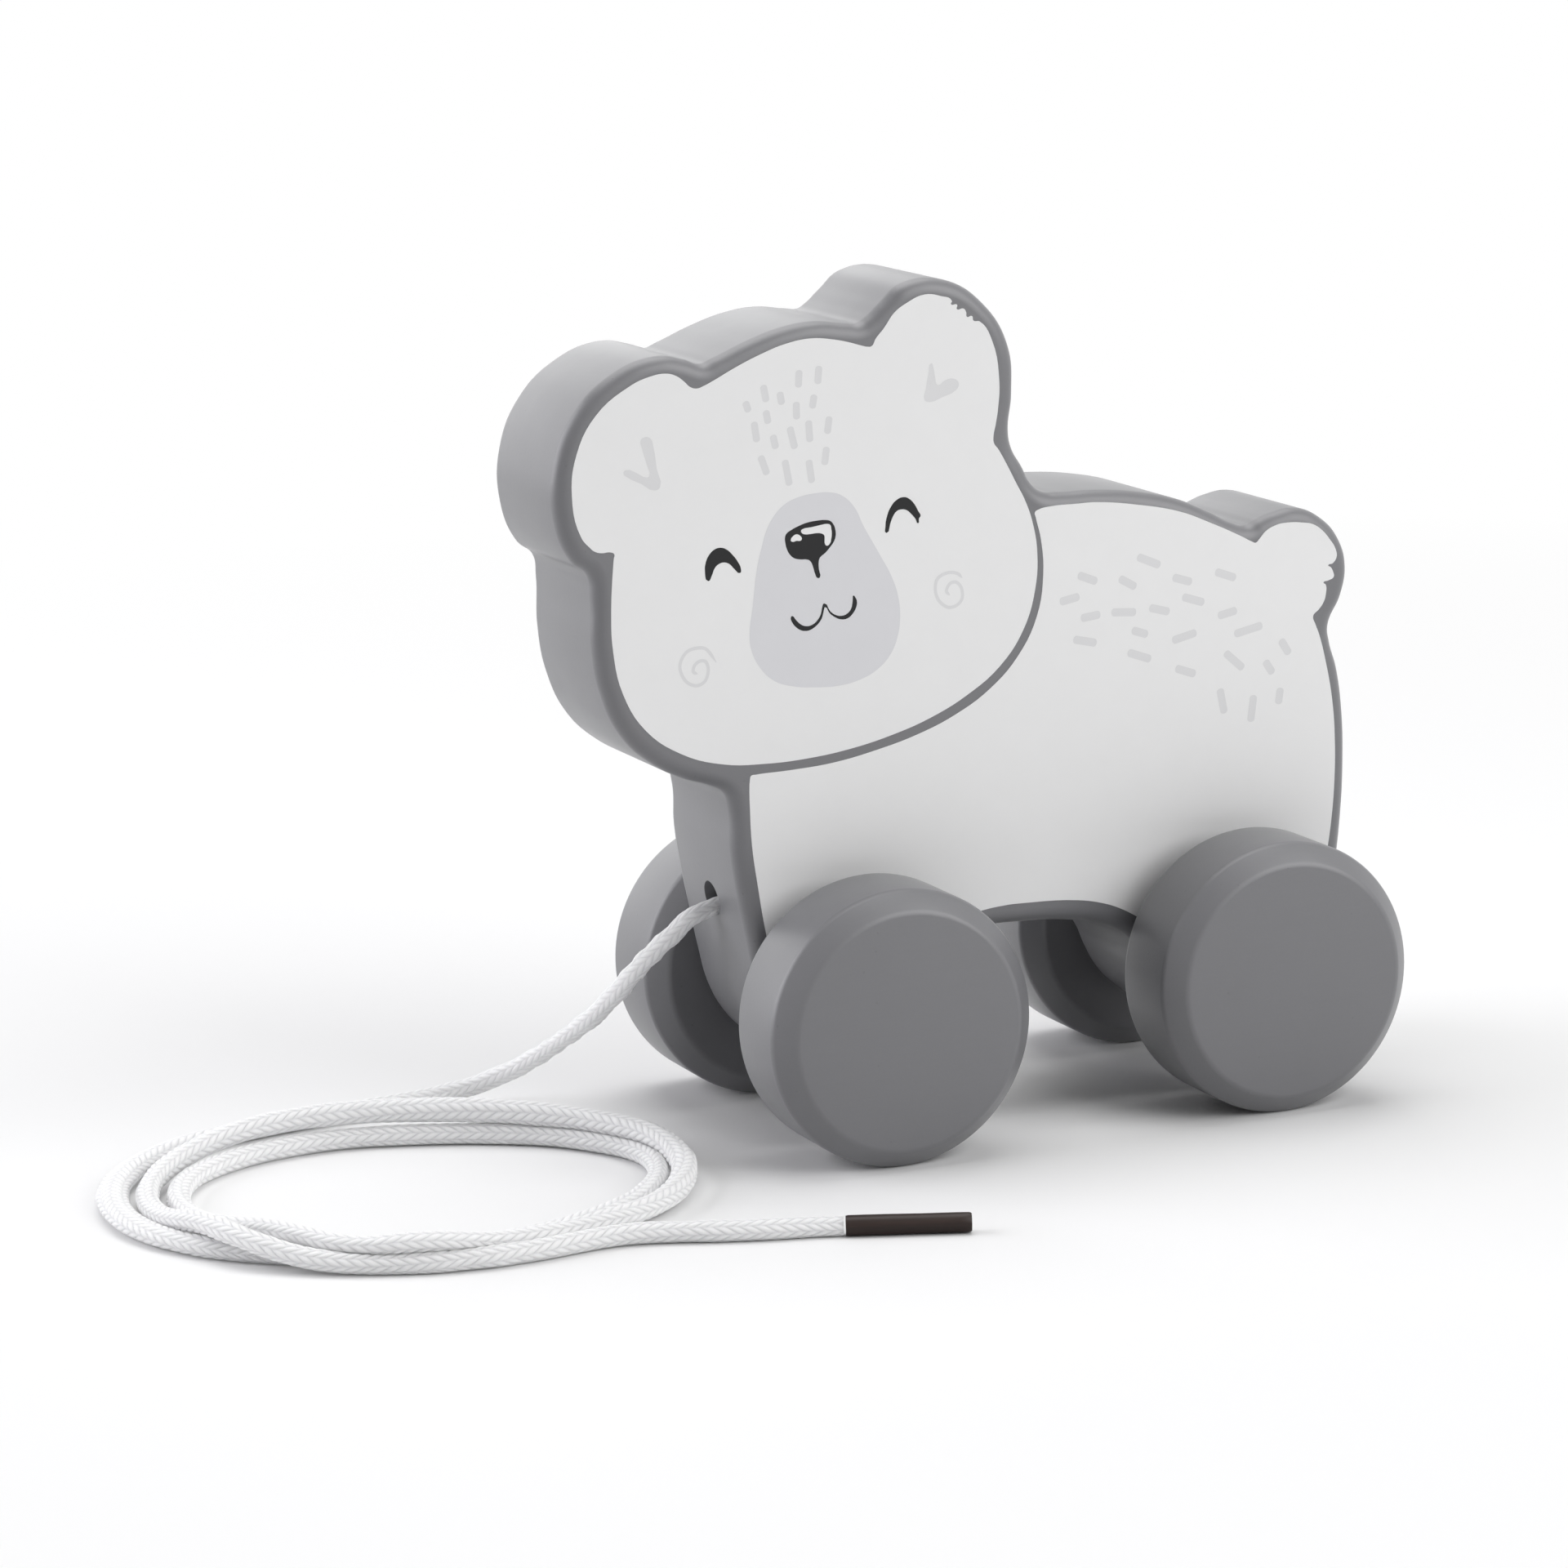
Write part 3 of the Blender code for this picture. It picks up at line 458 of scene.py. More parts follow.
def printing_ink(name, colour):
    """Matt screen ink in one thin coat: faintly mottled, with the paint's skin showing through."""
    material = bpy.data.materials.new(name)
    material.use_nodes = True
    tree = material.node_tree
    shader = tree.nodes["Principled BSDF"]
    place = add_node(tree, "ShaderNodeTexCoord").outputs["Object"]
    mottle = add_node(tree, "ShaderNodeTexNoise", {
        "Vector": place, "Scale": 1 / INK_MOTTLE, "Detail": 4.0, "Roughness": 0.6})
    tone = add_node(tree, "ShaderNodeMix", {
        0: mottle.outputs["Fac"], 6: linear(colour, 0.985), 7: linear(colour, 1.012)},
        data_type="RGBA")
    tree.links.new(tone.outputs[2], shader.inputs["Base Color"])
    dullness = add_node(tree, "ShaderNodeMapRange", {
        "Value": mottle.outputs["Fac"], "From Min": 0.3, "From Max": 0.7,
        "To Min": 0.46, "To Max": 0.54})
    tree.links.new(dullness.outputs["Result"], shader.inputs["Roughness"])
    shader.inputs["Specular IOR Level"].default_value = 0.3
    skin = add_node(tree, "ShaderNodeTexNoise", {
        "Vector": place, "Scale": 1 / INK_SKIN, "Detail": 2.0, "Roughness": 0.5})
    bump = add_node(tree, "ShaderNodeBump", {
        "Height": skin.outputs["Fac"], "Strength": 0.25, "Distance": 0.02 * MM})
    tree.links.new(bump.outputs["Normal"], shader.inputs["Normal"])
    return material


white_ink = printing_ink("white_screen_ink", "#e9e9e9")
muzzle_ink = printing_ink("muzzle_grey_screen_ink", "#d7d7da")
pale_ink = printing_ink("pale_grey_screen_ink", "#dadadb")
dark_ink = printing_ink("black_screen_ink", "#131315")

ink("white_fields", [smooth_outline(field, FIELD_DETAIL) for field in (HEAD_FIELD, COAT_FIELD)],
    WHITE_COAT, white_ink)
ink("muzzle_patch", [smooth_outline(MUZZLE, FIELD_DETAIL)], GREY_COAT, muzzle_ink)
ink("pale_marks",
    [brush_tick(*tick, FOREHEAD_TICK_WIDTH) for tick in FOREHEAD_TICKS]
    + [brush_tick(*tick, FLANK_TICK_WIDTH) for tick in FLANK_TICKS]
    + [smooth_outline(mark, MARK_DETAIL) for mark in (LEFT_EAR_MARK, RIGHT_EAR_MARK)]
    + [curl(line, CURL_WIDTH) for line in (LEFT_CURL, RIGHT_CURL)], GREY_COAT, pale_ink)
ink("face_lines",
    [smooth_outline(line, MARK_DETAIL) for line in (LEFT_EYE, RIGHT_EYE, NOSE, MOUTH)],
    DARK_COAT, dark_ink)
ink("nose_glints", [smooth_outline(glint, MARK_DETAIL) for glint in (GLINT_SMALL, GLINT_HOOK)],
    GLINT_COAT, white_ink)


# The axles: two turned birch dowels, one through each bore of the board, glued into both of their
# wheels. They are the part's own solids, which only get their finish here.

# Birch turned and left bare: pale yellow brown and dull, with its grain showing.
bare_birch = streaked_surface(
    "bare_turned_birch", "#c8a878", spread=0.12, roughness=0.6, streaks=0.12, lacquer=0.0)
for node in ("front_axle", "rear_axle"):
    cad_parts[node].data.materials.clear()
    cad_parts[node].data.materials.append(bare_birch)


# The wheels: four discs turned from solid beech, both edges cut off at 45 degrees and softened,
# with a blind hole for the axle that is glued into it, sprayed in the grey of the board.

WHEEL_RADIUS = 20.0 * MM
WHEEL_THICKNESS = 17.2 * MM
WHEEL_CHAMFER = 2.8 * MM
WHEEL_EDGE_ROUNDING = 1.3 * MM
WHEEL_EDGE_STEPS = 4
WHEEL_BORE_RADIUS = 3.3 * MM
WHEEL_BORE_DEPTH = 12.0 * MM
WHEEL_CENTRE_Y = 23.0 * MM
WHEEL_SEGMENTS = 128
CHAMFER_ANGLE = math.pi / 4
WELD = 0.001 * MM


def turned_wheel(name, node, body, axle_x, side):
    """A wheel at its place on the axle; side is -1 for the left flank and 1 for the right one."""
    half = WHEEL_THICKNESS / 2
    face_radius = WHEEL_RADIUS - WHEEL_CHAMFER
    profile = [(0.0, half), (face_radius, half), (WHEEL_RADIUS, half - WHEEL_CHAMFER),
               (WHEEL_RADIUS, WHEEL_CHAMFER - half), (face_radius, -half),
               (WHEEL_BORE_RADIUS, -half), (WHEEL_BORE_RADIUS, WHEEL_BORE_DEPTH - half),
               (0.0, WHEEL_BORE_DEPTH - half)]
    bm = bmesh.new()
    line = [bm.verts.new((r, side * y, 0.0)) for r, y in profile]
    edges = [bm.edges.new(pair) for pair in zip(line, line[1:])]
    bmesh.ops.spin(bm, geom=line + edges, cent=(0, 0, 0), axis=(0, 1, 0), angle=2 * math.pi,
                   steps=WHEEL_SEGMENTS, use_merge=True)
    bmesh.ops.remove_doubles(bm, verts=bm.verts, dist=WELD)
    corners = [e for e in bm.edges if e.is_manifold
               and abs(e.calc_face_angle() - CHAMFER_ANGLE) < CHAMFER_ANGLE / 4]
    bmesh.ops.bevel(bm, geom=corners, offset=WHEEL_EDGE_ROUNDING * math.tan(CHAMFER_ANGLE / 2),
                    offset_type="OFFSET", segments=WHEEL_EDGE_STEPS, profile=0.5,
                    affect="EDGES", material=-1)
    bmesh.ops.recalc_face_normals(bm, faces=bm.faces)
    bmesh.ops.translate(bm, verts=bm.verts, vec=(axle_x, side * WHEEL_CENTRE_Y, AXLE_Z))
    wheel = new_piece(name, bm, sprayed_grey_paint)
    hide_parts(node)
    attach(wheel, body)


for end, axle_x in (("front", FRONT_AXLE_X), ("rear", REAR_AXLE_X)):
    for flank, side in (("left", -1), ("right", 1)):
        turned_wheel(f"turned_{end}_{flank}_wheel", f"{end}_{flank}_wheel", f"{end}_wheelset",
                     axle_x, side)


# The cord: soft white polyester braid, 3 mm thick where it is drawn tight, plaited from eight
# strands and glued into the chest bore. It hangs to the ground, lies in two and a half loose
# turns, where it swells and flattens under its own weight, and ends in the brown tip.

CORD_RADIUS = 1.5 * MM
GROUND_GAP = 0.05 * MM
SEAT_CLEARANCE = 0.3 * MM
SAG_AT_MOUTH = 0.25 * MM
COIL_CENTRE = (-87.5 * MM, -12.5 * MM)
COIL_POINTS = 306
CURVE_DETAIL = 12
ROUTE_SPACING = 0.5 * MM
SMOOTHING_PASSES = 12
STITCH_LENGTH = 1.7 * MM
STITCH_COLUMNS = 8
STITCH_SLANT = 1.1
STITCH_RELIEF = 0.2 * MM
STITCH_FALL = 3.2                   # how fast a stitch falls off towards its column's edges
RELIEF_INSIDE = 0.75                # share of the relief that lies inside the cord's radius
STEPS_ALONG_STITCH = 6
STEPS_ACROSS_STITCH = 4
YARNS_TO_A_STRAND = 7.0             # finer and more in life
BRAID_SHARP_DEGREES = 80.0          # only the cord's cut ends are sharp

# Millimetres from the root where the cord begins to be less crumpled, taut and hanging, and where
# it no longer is.
CRUMPLED = (50, 90)
TAUT = (60, 105)
HANGING = (60, 90)
TAUT_RELIEF = 0.8                   # a taut cord's stitches lie flatter

# Degrees round the coil's centre, distance from it and lift off the ground in cord diameters.
COIL_STATIONS = [
    (80, 15.07, 0.0), (95, 14.43, 0.0), (135, 14.3, 0.0), (160, 13.6, 0.0),
    (185, 12.57, 0.0), (200, 11.75, 0.0), (215, 10.95, 0.0), (230, 10.2, 0.0),
    (245, 9.75, 0.0), (260, 9.63, 0.0), (290, 9.8, 0.0), (305, 10.05, 0.0),
    (335, 11.2, 0.0), (350, 11.8, 0.0), (365, 12.05, 0.0), (380, 11.5, 0.0),
    (410, 10.25, 0.0), (430, 9.95, 0.0), (455, 10.33, 0.0), (500, 10.85, 0.0),
    (530, 10.45, 0.0), (545, 10.05, 0.1), (558, 9.6, 0.36), (570, 9.65, 0.6),
    (583, 10.3, 0.74), (592, 10.9, 0.66), (601, 11.1, 0.64), (609, 11.15, 0.82),
    (617, 11.1, 0.78), (630, 10.75, 0.4), (645, 10.7, 0.22), (660, 11.05, 0.2),
    (680, 12.0, 0.15), (695, 12.6, 0.25), (710, 12.85, 0.5), (725, 12.6, 0.78),
    (740, 11.9, 0.84), (755, 11.15, 0.95), (770, 10.5, 1.08), (790, 10.35, 1.12),
    (830, 11.3, 1.05), (845, 11.95, 0.68), (860, 12.3, 0.25), (875, 12.15, 0.08),
    (890, 11.85, 0.12), (900, 11.65, 0.32), (908, 11.5, 0.62), (916, 11.45, 0.86),
    (924, 11.6, 0.9), (932, 11.75, 0.75), (941, 11.72, 0.42), (950, 11.63, 0.15),
    (965, 11.45, 0.0), (995, 11.63, 0.0)]

# How much broader and higher than its tight 3 mm the cord is, at these millimetres from its root.
CORD_SWELL = [
    (0, 0.75, 0.75), (14, 0.78, 0.8), (20, 0.9, 0.92), (36, 0.95, 0.95), (48, 0.84, 0.86),
    (66, 0.92, 0.95), (90, 1.05, 1.0), (115, 1.25, 0.98), (135, 1.5, 0.92), (158, 1.45, 0.9),
    (180, 1.15, 0.92), (230, 1.1, 1.0), (262, 1.06, 1.0), (300, 1.1, 1.0), (360, 1.12, 0.98),
    (385, 1.1, 0.95), (440, 1.16, 1.0), (470, 1.3, 1.12), (505, 1.2, 1.2), (535, 1.06, 1.06),
    (580, 1.1, 1.0), (610, 1.08, 0.96), (640, 1.04, 0.98), (672, 0.97, 0.97), (683, 0.9, 0.9)]

# The route's knots in millimetres: from the chest down, from before the coil's start into it, and
# from the coil's end to the tip.
FALLING = [(-2.7, 0.3, -1.5), (-5.2, 1.5, -4.0), (-7.6, 3.2, -6.7), (-9.6, 5.3, -9.6),
           (-11.0, 8.0, -12.7), (-12.4, 11.6, -16.2), (-14.1, 16.0, -19.8),
           (-15.9, 21.1, -23.3), (-17.9, 26.0, -26.6), (-20.3, 30.0, -29.2)]
LANDING = [(17.9, 0.4, 1.65), (14.1, 1.8, 0.55), (9.9, 1.8, 0.0), (5.7, 1.0, 0.0)]
LEAVING = [(9.0, 1.2, 0.0), (14.6, 0.7, 0.0), (20.6, -1.7, 0.0), (27.3, -4.7, 0.0),
           (33.9, -6.7, 0.0)]
END_OF_CORD = (40.2, -8.9, 0.0)
TIP_HEADING = (15.8, -6.6, 0.0)


def coil_point(degrees):
    """Place on the coil's centre line at this angle, eased from station to station."""
    stations = np.array(COIL_STATIONS)
    angles = stations[:, 0]
    k = int(np.clip(np.searchsorted(angles, degrees, side="right") - 1, 0, len(angles) - 2))

    def slope(j):
        before, after = max(j - 1, 0), min(j + 1, len(angles) - 1)
        return (stations[after, 1:] - stations[before, 1:]) / (angles[after] - angles[before])

    span = angles[k + 1] - angles[k]
    t = (degrees - angles[k]) / span
    distance, lift = ((2 * t ** 3 - 3 * t ** 2 + 1) * stations[k, 1:]
                      + (t ** 3 - 2 * t ** 2 + t) * span * slope(k)
                      + (3 * t ** 2 - 2 * t ** 3) * stations[k + 1, 1:]
                      + (t ** 3 - t ** 2) * span * slope(k + 1))
    angle = math.radians(degrees)
    return Vector((COIL_CENTRE[0] + distance * 2 * CORD_RADIUS * math.cos(angle),
                   COIL_CENTRE[1] + distance * 2 * CORD_RADIUS * math.sin(angle),
                   CORD_RADIUS + GROUND_GAP + max(lift, 0.0) * 2 * CORD_RADIUS))


def evenly_spaced(points, spacing):
    """The same line as an array, with points about one spacing apart and its two ends kept."""
    line = np.array(points)
    steps = np.linalg.norm(np.diff(line, axis=0), axis=1)
    along = np.concatenate([[0.0], np.cumsum(steps)])
    at = np.linspace(0.0, along[-1], max(2, round(along[-1] / spacing) + 1))
    return np.stack([np.interp(at, along, line[:, k]) for k in range(3)], axis=1)


def set_off(start, knots):
    """The knots, given in millimetres from the start, as places."""
    return [start + Vector(knot) * MM for knot in knots]


cord_z = CORD_BORE_Z - CORD_BORE_RADIUS + CORD_RADIUS + SEAT_CLEARANCE
root = Vector((CHEST_X + CORD_BORE_DEPTH - SEAT_CLEARANCE, 0.0, cord_z))
mouth = Vector((CHEST_X + CORD_RADIUS, 0.0, cord_z - SAG_AT_MOUTH))

first, last = COIL_STATIONS[0][0], COIL_STATIONS[-1][0]
turns = [coil_point(degrees) for degrees in np.linspace(first, last, COIL_POINTS)]
coil_start = turns[0] - (turns[1] - turns[0]).normalized() * 2 * CORD_RADIUS
coil_end = turns[-1] + (turns[-1] - turns[-2]).normalized() * 2 * CORD_RADIUS
tip_direction = Vector(TIP_HEADING).normalized()
cord_end = coil_end + Vector(END_OF_CORD) * MM

lead = [root] + smooth_curve(
    [mouth] + set_off(Vector((CHEST_X, 0.0, cord_z)), FALLING) + set_off(coil_start, LANDING)
    + [coil_start], CURVE_DETAIL)
tail = smooth_curve(
    [coil_end] + set_off(coil_end, LEAVING) + [cord_end - tip_direction * 2 * CORD_RADIUS],
    CURVE_DETAIL) + [cord_end]
cord_line = evenly_spaced(lead + turns + tail, ROUTE_SPACING)
for _ in range(SMOOTHING_PASSES):
    cord_line[1:-1] = (cord_line[:-2] + 2 * cord_line[1:-1] + cord_line[2:]) / 4
cord_path = evenly_spaced(cord_line, STITCH_LENGTH / STEPS_ALONG_STITCH)
cord_length = float(np.linalg.norm(np.diff(cord_path, axis=0), axis=1).sum())


def faded(run, stretch):
    """0 up to the stretch's start and 1 from its end, in millimetres from the root."""
    return np.clip((run - stretch[0]) / (stretch[1] - stretch[0]), 0, 1)


def stitch_height(columns, along):
    """Height of the braid, 0 in its grooves and 1 on the back of a strand; neighbours mirror."""
    within = columns % 1.0 - 0.5
    which = np.floor(columns) % 2
    phase = (along + which / 2 + (1 - 2 * which) * STITCH_SLANT * within) % 1.0
    return np.sqrt(np.sin(math.pi * phase) * np.clip(1 - STITCH_FALL * within ** 2, 0, 1))


def braided_tube(name, path, material):
    """A grid wrapped round the path, each stitch of the braid standing proud of its grooves."""
    rings, around = len(path) - 1, STEPS_ACROSS_STITCH * STITCH_COLUMNS
    bm = bmesh.new()
    bm.loops.layers.uv.new("braid")
    bmesh.ops.create_grid(bm, x_segments=rings, y_segments=around, size=1.0, calc_uvs=True)
    place = np.array([v.co for v in bm.verts])
    ring = np.rint((place[:, 0] + 1) / 2 * rings).astype(int)
    column = np.rint((place[:, 1] + 1) / 2 * around).astype(int)
    tangent = np.gradient(path, axis=0)
    across = np.cross(tangent, (0.0, 0.0, 1.0))
    across /= np.linalg.norm(across, axis=1)[:, None]
    up = np.cross(across, tangent)
    up /= np.linalg.norm(up, axis=1)[:, None]

    run = ring / rings * cord_length / MM
    swell = np.array(CORD_SWELL)
    broad = np.interp(run, swell[:, 0], swell[:, 1])
    high = np.interp(run, swell[:, 0], swell[:, 2])
    # The braid turns slowly about its own line, to and fro.
    twist = 0.9 * np.sin(run / 47) + 0.6 * np.sin(run / 21 + 1.0)
    angle = 2 * math.pi * column / around + twist
    # It is uneven by 3% all along, and crumpled by 7% more near the chest.
    uneven = 0.03 * np.sin(run / 1.9 + 1.3 * np.sin(run / 5.3)) * np.sin(run / 11.0 + 1.0)
    creases = 0.07 * np.sin(run / 0.85 + 2.0 * np.sin(run / 4.1) + angle)
    lumps = 1 + uneven + (1 - faded(run, CRUMPLED)) * creases
    relief = STITCH_RELIEF * (TAUT_RELIEF + (1 - TAUT_RELIEF) * faded(run, TAUT))
    proud = stitch_height(column / STEPS_ACROSS_STITCH, ring / STEPS_ALONG_STITCH)
    radius = CORD_RADIUS * lumps - relief * (RELIEF_INSIDE - proud)
    # Where it lies on the ground, its underside stays there however high the cord is.
    lying = (path[ring, 2] < 2 * CORD_RADIUS) * faded(run, HANGING)
    spots = (path[ring] + across[ring] * (radius * broad * np.cos(angle))[:, None]
             + up[ring] * (radius * high * np.sin(angle))[:, None])
    spots[:, 2] = np.maximum(spots[:, 2] + CORD_RADIUS * (high - 1) * lying, GROUND_GAP / 2)
    for vert, spot in zip(bm.verts, spots):
        vert.co = spot
    bmesh.ops.remove_doubles(bm, verts=bm.verts, dist=WELD)
    bmesh.ops.holes_fill(bm, edges=[e for e in bm.edges if e.is_boundary], sides=0)
    bmesh.ops.recalc_face_normals(bm, faces=bm.faces)
    return new_piece(name, bm, material, sharp_degrees=BRAID_SHARP_DEGREES)


def braided_polyester(name, colour, groove_shade_colour, stitches):
    """White braid that lets light soak in, of slanted yarn strands with painted shade between."""
    material = bpy.data.materials.new(name)
    material.use_nodes = True
    tree = material.node_tree
    shader = tree.nodes["Principled BSDF"]
    uv = add_node(tree, "ShaderNodeUVMap", uv_map="braid").outputs["UV"]
    split = add_node(tree, "ShaderNodeSeparateXYZ", {"Vector": uv})

    def calculate(operation, *values):
        worked_out = add_node(tree, "ShaderNodeMath", dict(enumerate(values)), operation=operation)
        return worked_out.outputs["Value"]

    # The same stitches as the mesh's.
    columns = calculate("MULTIPLY", split.outputs["Y"], float(STITCH_COLUMNS))
    within = calculate("SUBTRACT", calculate("FRACT", columns), 0.5)
    which = calculate("MODULO", calculate("FLOOR", columns), 2.0)
    slant = calculate("MULTIPLY", calculate("MULTIPLY_ADD", which, -2.0, 1.0), STITCH_SLANT)
    along = calculate("MULTIPLY", split.outputs["X"], float(stitches))
    phase = calculate("FRACT", calculate("ADD", calculate("MULTIPLY_ADD", which, 0.5, along),
                                         calculate("MULTIPLY", slant, within)))
    back = calculate("SINE", calculate("MULTIPLY", phase, math.pi))
    ends = calculate("MAXIMUM", calculate(
        "MULTIPLY_ADD", calculate("MULTIPLY", within, within), -STITCH_FALL, 1.0), 0.0)
    height = calculate("SQRT", calculate("MULTIPLY", back, ends))
    relief = add_node(tree, "ShaderNodeMapRange", {
        "Value": along, "From Min": TAUT[0] * MM / STITCH_LENGTH,
        "From Max": TAUT[1] * MM / STITCH_LENGTH, "To Min": TAUT_RELIEF, "To Max": 1.0})
    relief = relief.outputs["Result"]

    # The yarns lie side by side across a strand and run on for most of a stitch.
    yarns = add_node(tree, "ShaderNodeCombineXYZ", {
        "X": calculate("MULTIPLY", phase, YARNS_TO_A_STRAND),
        "Y": calculate("MULTIPLY", columns, 1.5), "Z": calculate("MULTIPLY", along, 1.2)})
    fibres = add_node(tree, "ShaderNodeTexNoise", {
        "Vector": yarns.outputs["Vector"], "Scale": 1.0, "Detail": 3.0, "Roughness": 0.7})
    # Painted shade: the grooves between the strands are darkened towards the groove colour, less
    # where the cord is taut.
    depth = calculate("MULTIPLY", calculate("SUBTRACT", 1.0, height), relief)
    tone = add_node(tree, "ShaderNodeMix", {
        0: depth, 6: linear(colour), 7: linear(groove_shade_colour)}, data_type="RGBA")
    tree.links.new(tone.outputs[2], shader.inputs["Base Color"])
    shader.inputs["Roughness"].default_value = 0.6
    shader.inputs["Sheen Weight"].default_value = 0.3
    shader.inputs["Subsurface Weight"].default_value = 0.8
    shader.inputs["Subsurface Radius"].default_value = (1.0, 1.0, 1.0)
    shader.inputs["Subsurface Scale"].default_value = 2.2 * MM
    bump = add_node(tree, "ShaderNodeBump", {
        "Height": height, "Strength": relief, "Distance": STITCH_RELIEF})
    fibre_bump = add_node(tree, "ShaderNodeBump", {
        "Height": fibres.outputs["Fac"], "Strength": 0.5, "Distance": 0.06 * MM,
        "Normal": bump.outputs["Normal"]})
    tree.links.new(fibre_bump.outputs["Normal"], shader.inputs["Normal"])
    return material


# The second colour is painted shade for the braid's grooves.
white_braid = braided_polyester(
    "white_polyester_braid", "#fcfcfc", "#d9d9db", (len(cord_path) - 1) / STEPS_ALONG_STITCH)
cord = braided_tube("braided_cord", cord_path, white_braid)
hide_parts("cord_lead", "cord_coil", "cord_tail")
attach(cord, "body")


# The tip: a short sleeve of dark brown polyolefin, shrunk with heat over the cord's end so that it
# can't fray. It narrows a little towards its far end.

TIP_RADIUS = 1.4 * MM
TIP_LENGTH = 17.0 * MM
TIP_SEGMENTS = 40
# Shares of the radius, and of the length from the cord.
TIP_PROFILE = [(0.0, 0.0), (0.95, 0.0), (1.0, 0.02), (1.0, 0.3), (0.97, 0.6), (0.98, 0.9),
               (0.96, 0.985), (0.88, 1.0), (0.0, 1.0)]

# Shrunk plastic: dark and dull, with lighter streaks drawn along it.
brown_shrink_sleeve = streaked_surface(
    "brown_shrink_sleeve", "#241814", spread=0.10, roughness=0.42, streaks=0.3, lacquer=0.0,
    turned=math.atan2(tip_direction.y, tip_direction.x))
tip_start = cord_end + tip_direction * SEAT_CLEARANCE
bm = bmesh.new()
line = [bm.verts.new((r * TIP_RADIUS, 0.0, t * TIP_LENGTH)) for r, t in TIP_PROFILE]
edges = [bm.edges.new(pair) for pair in zip(line, line[1:])]
bmesh.ops.spin(bm, geom=line + edges, cent=(0, 0, 0), axis=(0, 0, 1), angle=2 * math.pi,
               steps=TIP_SEGMENTS, use_merge=True)
bmesh.ops.remove_doubles(bm, verts=bm.verts, dist=WELD)
bmesh.ops.recalc_face_normals(bm, faces=bm.faces)
bm.transform(Matrix.Translation((tip_start.x, tip_start.y, TIP_RADIUS + GROUND_GAP))
             @ tip_direction.to_track_quat("Z", "Y").to_matrix().to_4x4())
tip = new_piece("shrunk_tip", bm, brown_shrink_sleeve)
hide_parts("cord_tip")
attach(tip, "body")


# The ground: a wide sheet of matt white paper. Further off it turns into plain white for what looks
# at it or mirrors it, and what it throws on the bear stays the same.

SHEET_HALF_WIDTH = 4.0
FADES_FROM = 0.08
FADES_TO = 0.55


def seen_by_eye(tree):
    """1 for rays from the camera, reflections and glass, 0 for the rays that light things."""
    rays = add_node(tree, "ShaderNodeLightPath")
    seen = add_node(tree, "ShaderNodeMath", {
        0: rays.outputs["Is Camera Ray"], 1: rays.outputs["Is Glossy Ray"]}, operation="MAXIMUM")
    return add_node(tree, "ShaderNodeMath", {
        0: seen.outputs["Value"], 1: rays.outputs["Is Transmission Ray"]},
        operation="MAXIMUM").outputs["Value"]


# Uncoated paper: nearly white and quite dull, so it mirrors next to nothing.
matt_paper = bpy.data.materials.new("matt_white_paper")
matt_paper.use_nodes = True
tree = matt_paper.node_tree
paper = tree.nodes["Principled BSDF"]
paper.inputs["Base Color"].default_value = linear("#f3f3f3")
paper.inputs["Roughness"].default_value = 0.9
paper.inputs["Specular IOR Level"].default_value = 0.2
distance = add_node(tree, "ShaderNodeVectorMath", {
    0: add_node(tree, "ShaderNodeTexCoord").outputs["Object"]}, operation="LENGTH")
fade = add_node(tree, "ShaderNodeMapRange", {
    "Value": distance.outputs["Value"], "From Min": FADES_FROM, "From Max": FADES_TO})
whiteness = add_node(tree, "ShaderNodeMath", {
    0: fade.outputs["Result"], 1: seen_by_eye(tree)}, operation="MULTIPLY")
white = add_node(tree, "ShaderNodeEmission", {"Color": (1.0, 1.0, 1.0, 1.0), "Strength": 1.0})
faded_paper = add_node(tree, "ShaderNodeMixShader", {
    0: whiteness.outputs["Value"], 1: paper.outputs["BSDF"], 2: white.outputs["Emission"]})
tree.links.new(faded_paper.outputs["Shader"], tree.nodes["Material Output"].inputs["Surface"])
bm = bmesh.new()
bmesh.ops.create_grid(bm, x_segments=1, y_segments=1, size=SHEET_HALF_WIDTH)
floor = new_piece("floor", bm, matt_paper)


# The room: white walls far off. It is plain white for what looks at it or mirrors it, and throws
# hardly any light of its own on the bear.

ROOM_LIGHT = 0.01

world = bpy.data.worlds.new("white_room")
bpy.context.scene.world = world
world.use_nodes = True
tree = world.node_tree
tree.nodes.clear()
strength = add_node(tree, "ShaderNodeMapRange", {
    "Value": seen_by_eye(tree), "To Min": ROOM_LIGHT, "To Max": 1.0})
glow = add_node(tree, "ShaderNodeBackground", {
    "Color": (1.0, 1.0, 1.0, 1.0), "Strength": strength.outputs["Result"]})
add_node(tree, "ShaderNodeOutputWorld", {"Surface": glow.outputs["Background"]})


# The lamps: four square soft boxes of one size at one distance. One stands far round to the left
# rear, one to the right of the camera, one nearly overhead and a weak one behind the bear.

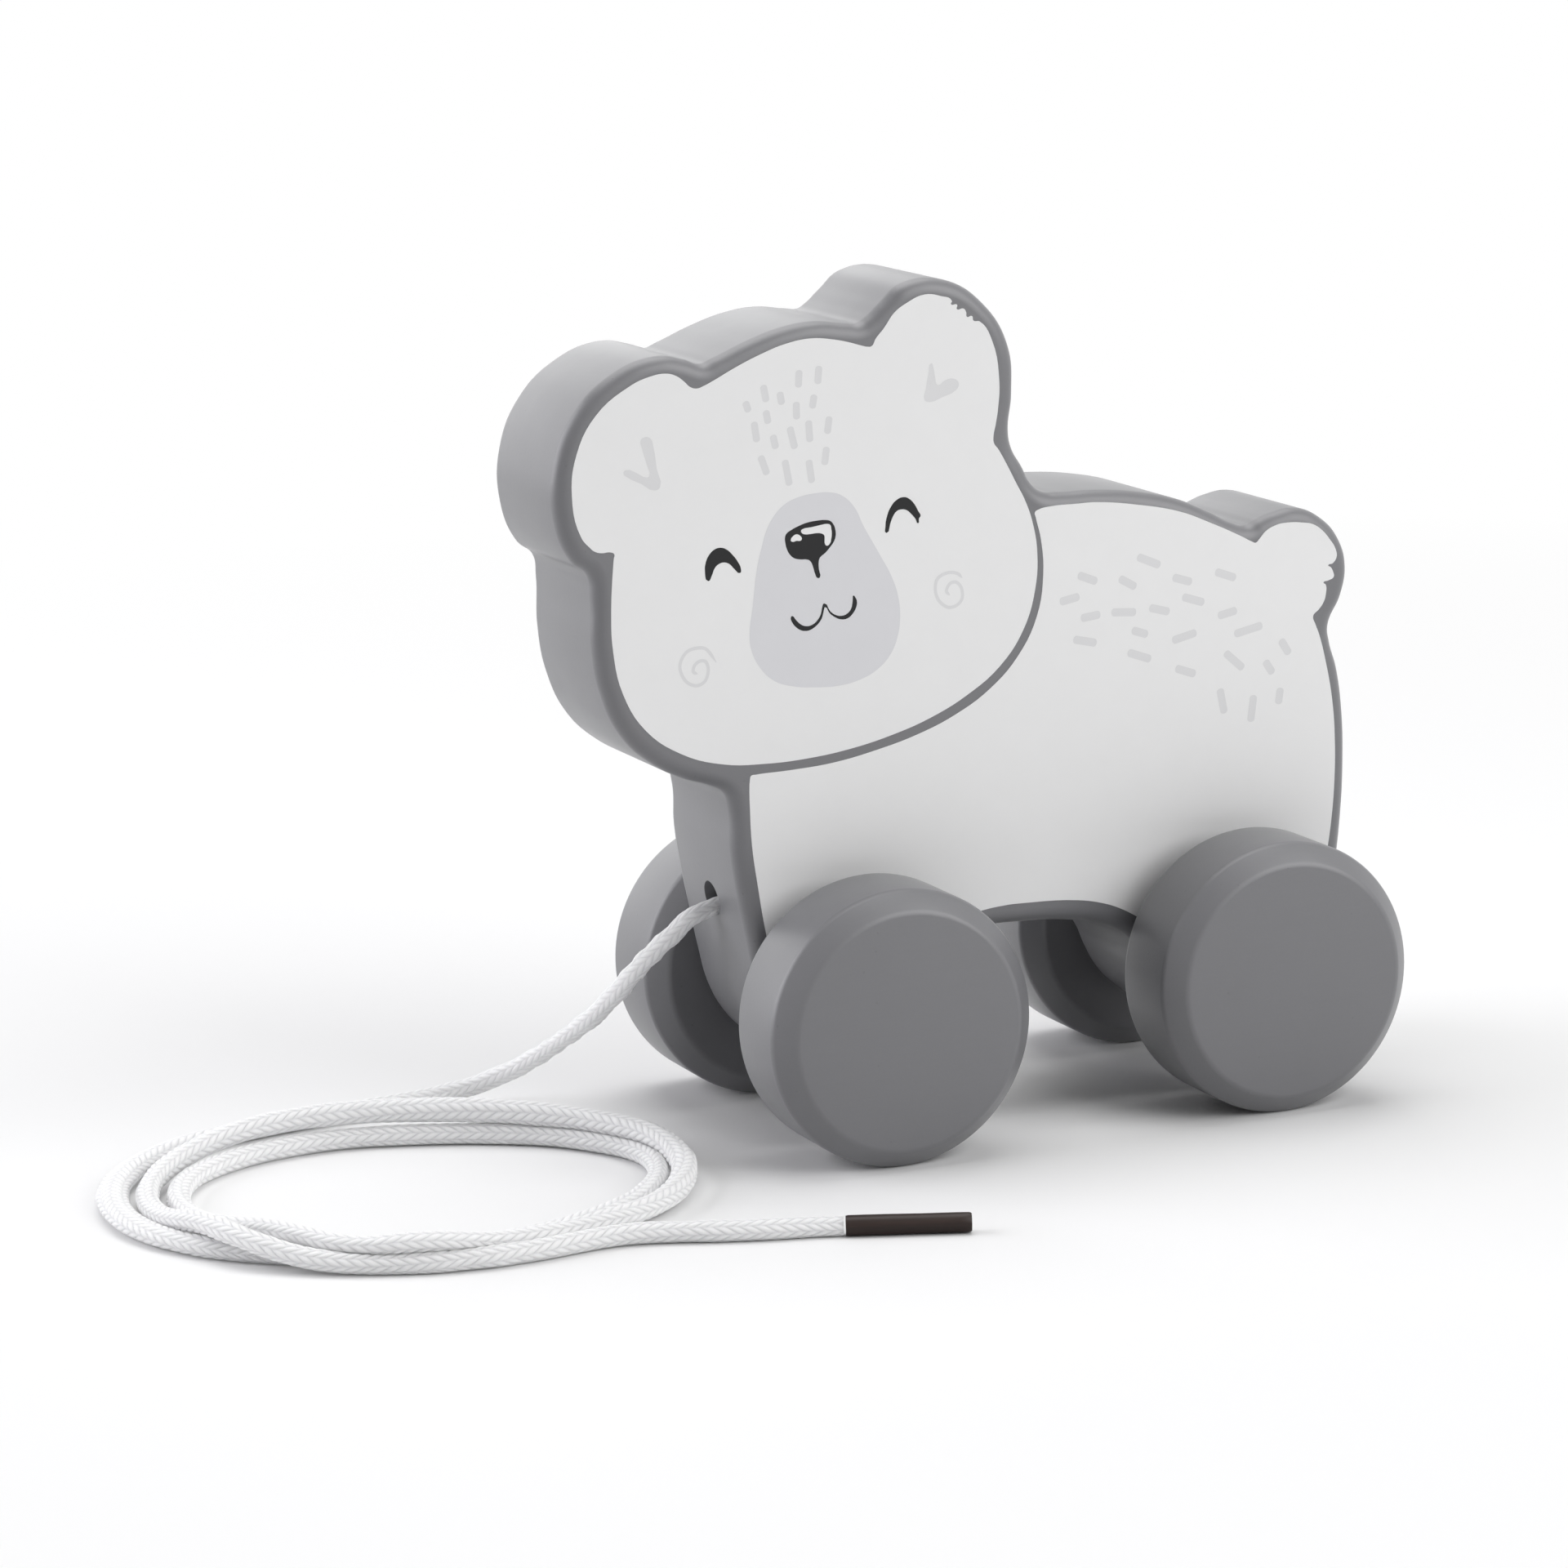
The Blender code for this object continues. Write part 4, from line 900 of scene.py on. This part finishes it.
LAMP_SIDE = 1.0
LAMP_DISTANCE = 1.2
LAMP_AIM = Vector((-0.02, 0.0, 0.05))
WHITE_LIGHT = (1.0, 1.0, 1.0)
COOL_LIGHT = (0.965, 0.96, 1.0)


def soft_lamp(name, azimuth, elevation, watts, tint):
    """A soft box aimed at the bear; azimuth 0 is in front of its left flank."""
    a, e = math.radians(azimuth), math.radians(elevation)
    lamp = bpy.data.lights.new(name, "AREA")
    lamp.shape = "SQUARE"
    lamp.size = LAMP_SIDE
    lamp.energy = watts
    lamp.color = tint
    holder = bpy.data.objects.new(name, lamp)
    towards = Vector((math.sin(a) * math.cos(e), -math.cos(a) * math.cos(e), math.sin(e)))
    holder.location = LAMP_AIM + LAMP_DISTANCE * towards
    holder.rotation_euler = towards.to_track_quat("Z", "Y").to_euler()
    bpy.context.scene.collection.objects.link(holder)


soft_lamp("left_softbox", -117.0, 20.5, 10.5, COOL_LIGHT)
soft_lamp("right_softbox", 37.0, 31.0, 11.0, WHITE_LIGHT)
soft_lamp("overhead_softbox", 158.0, 77.0, 9.6, WHITE_LIGHT)
soft_lamp("back_softbox", 180.0, 22.0, 2.7, WHITE_LIGHT)


# The camera: a long lens about 0.8 m from the bear, slightly above it and to its left front, where
# the outline and all four wheels fall as they do in the photograph.

CAMERA_PLACE = (-0.33441, -0.70996, 0.21187)
FOCAL_LENGTH = 126.79
AZIMUTH, ELEVATION, ROLL = (math.radians(a) for a in (-23.62, 11.78, -1.38))

camera = bpy.data.cameras.new("camera")
camera.lens = FOCAL_LENGTH
camera.sensor_width = 36.0
camera.clip_start = 0.05
viewer = bpy.data.objects.new("camera", camera)
viewer.matrix_world = (Matrix.Translation(CAMERA_PLACE)
                       @ Matrix.Rotation(AZIMUTH, 4, "Z")
                       @ Matrix.Rotation(math.pi / 2 - ELEVATION, 4, "X")
                       @ Matrix.Rotation(ROLL, 4, "Z"))
bpy.context.scene.collection.objects.link(viewer)
bpy.context.scene.camera = viewer
bpy.context.scene.view_settings.view_transform = "Standard"
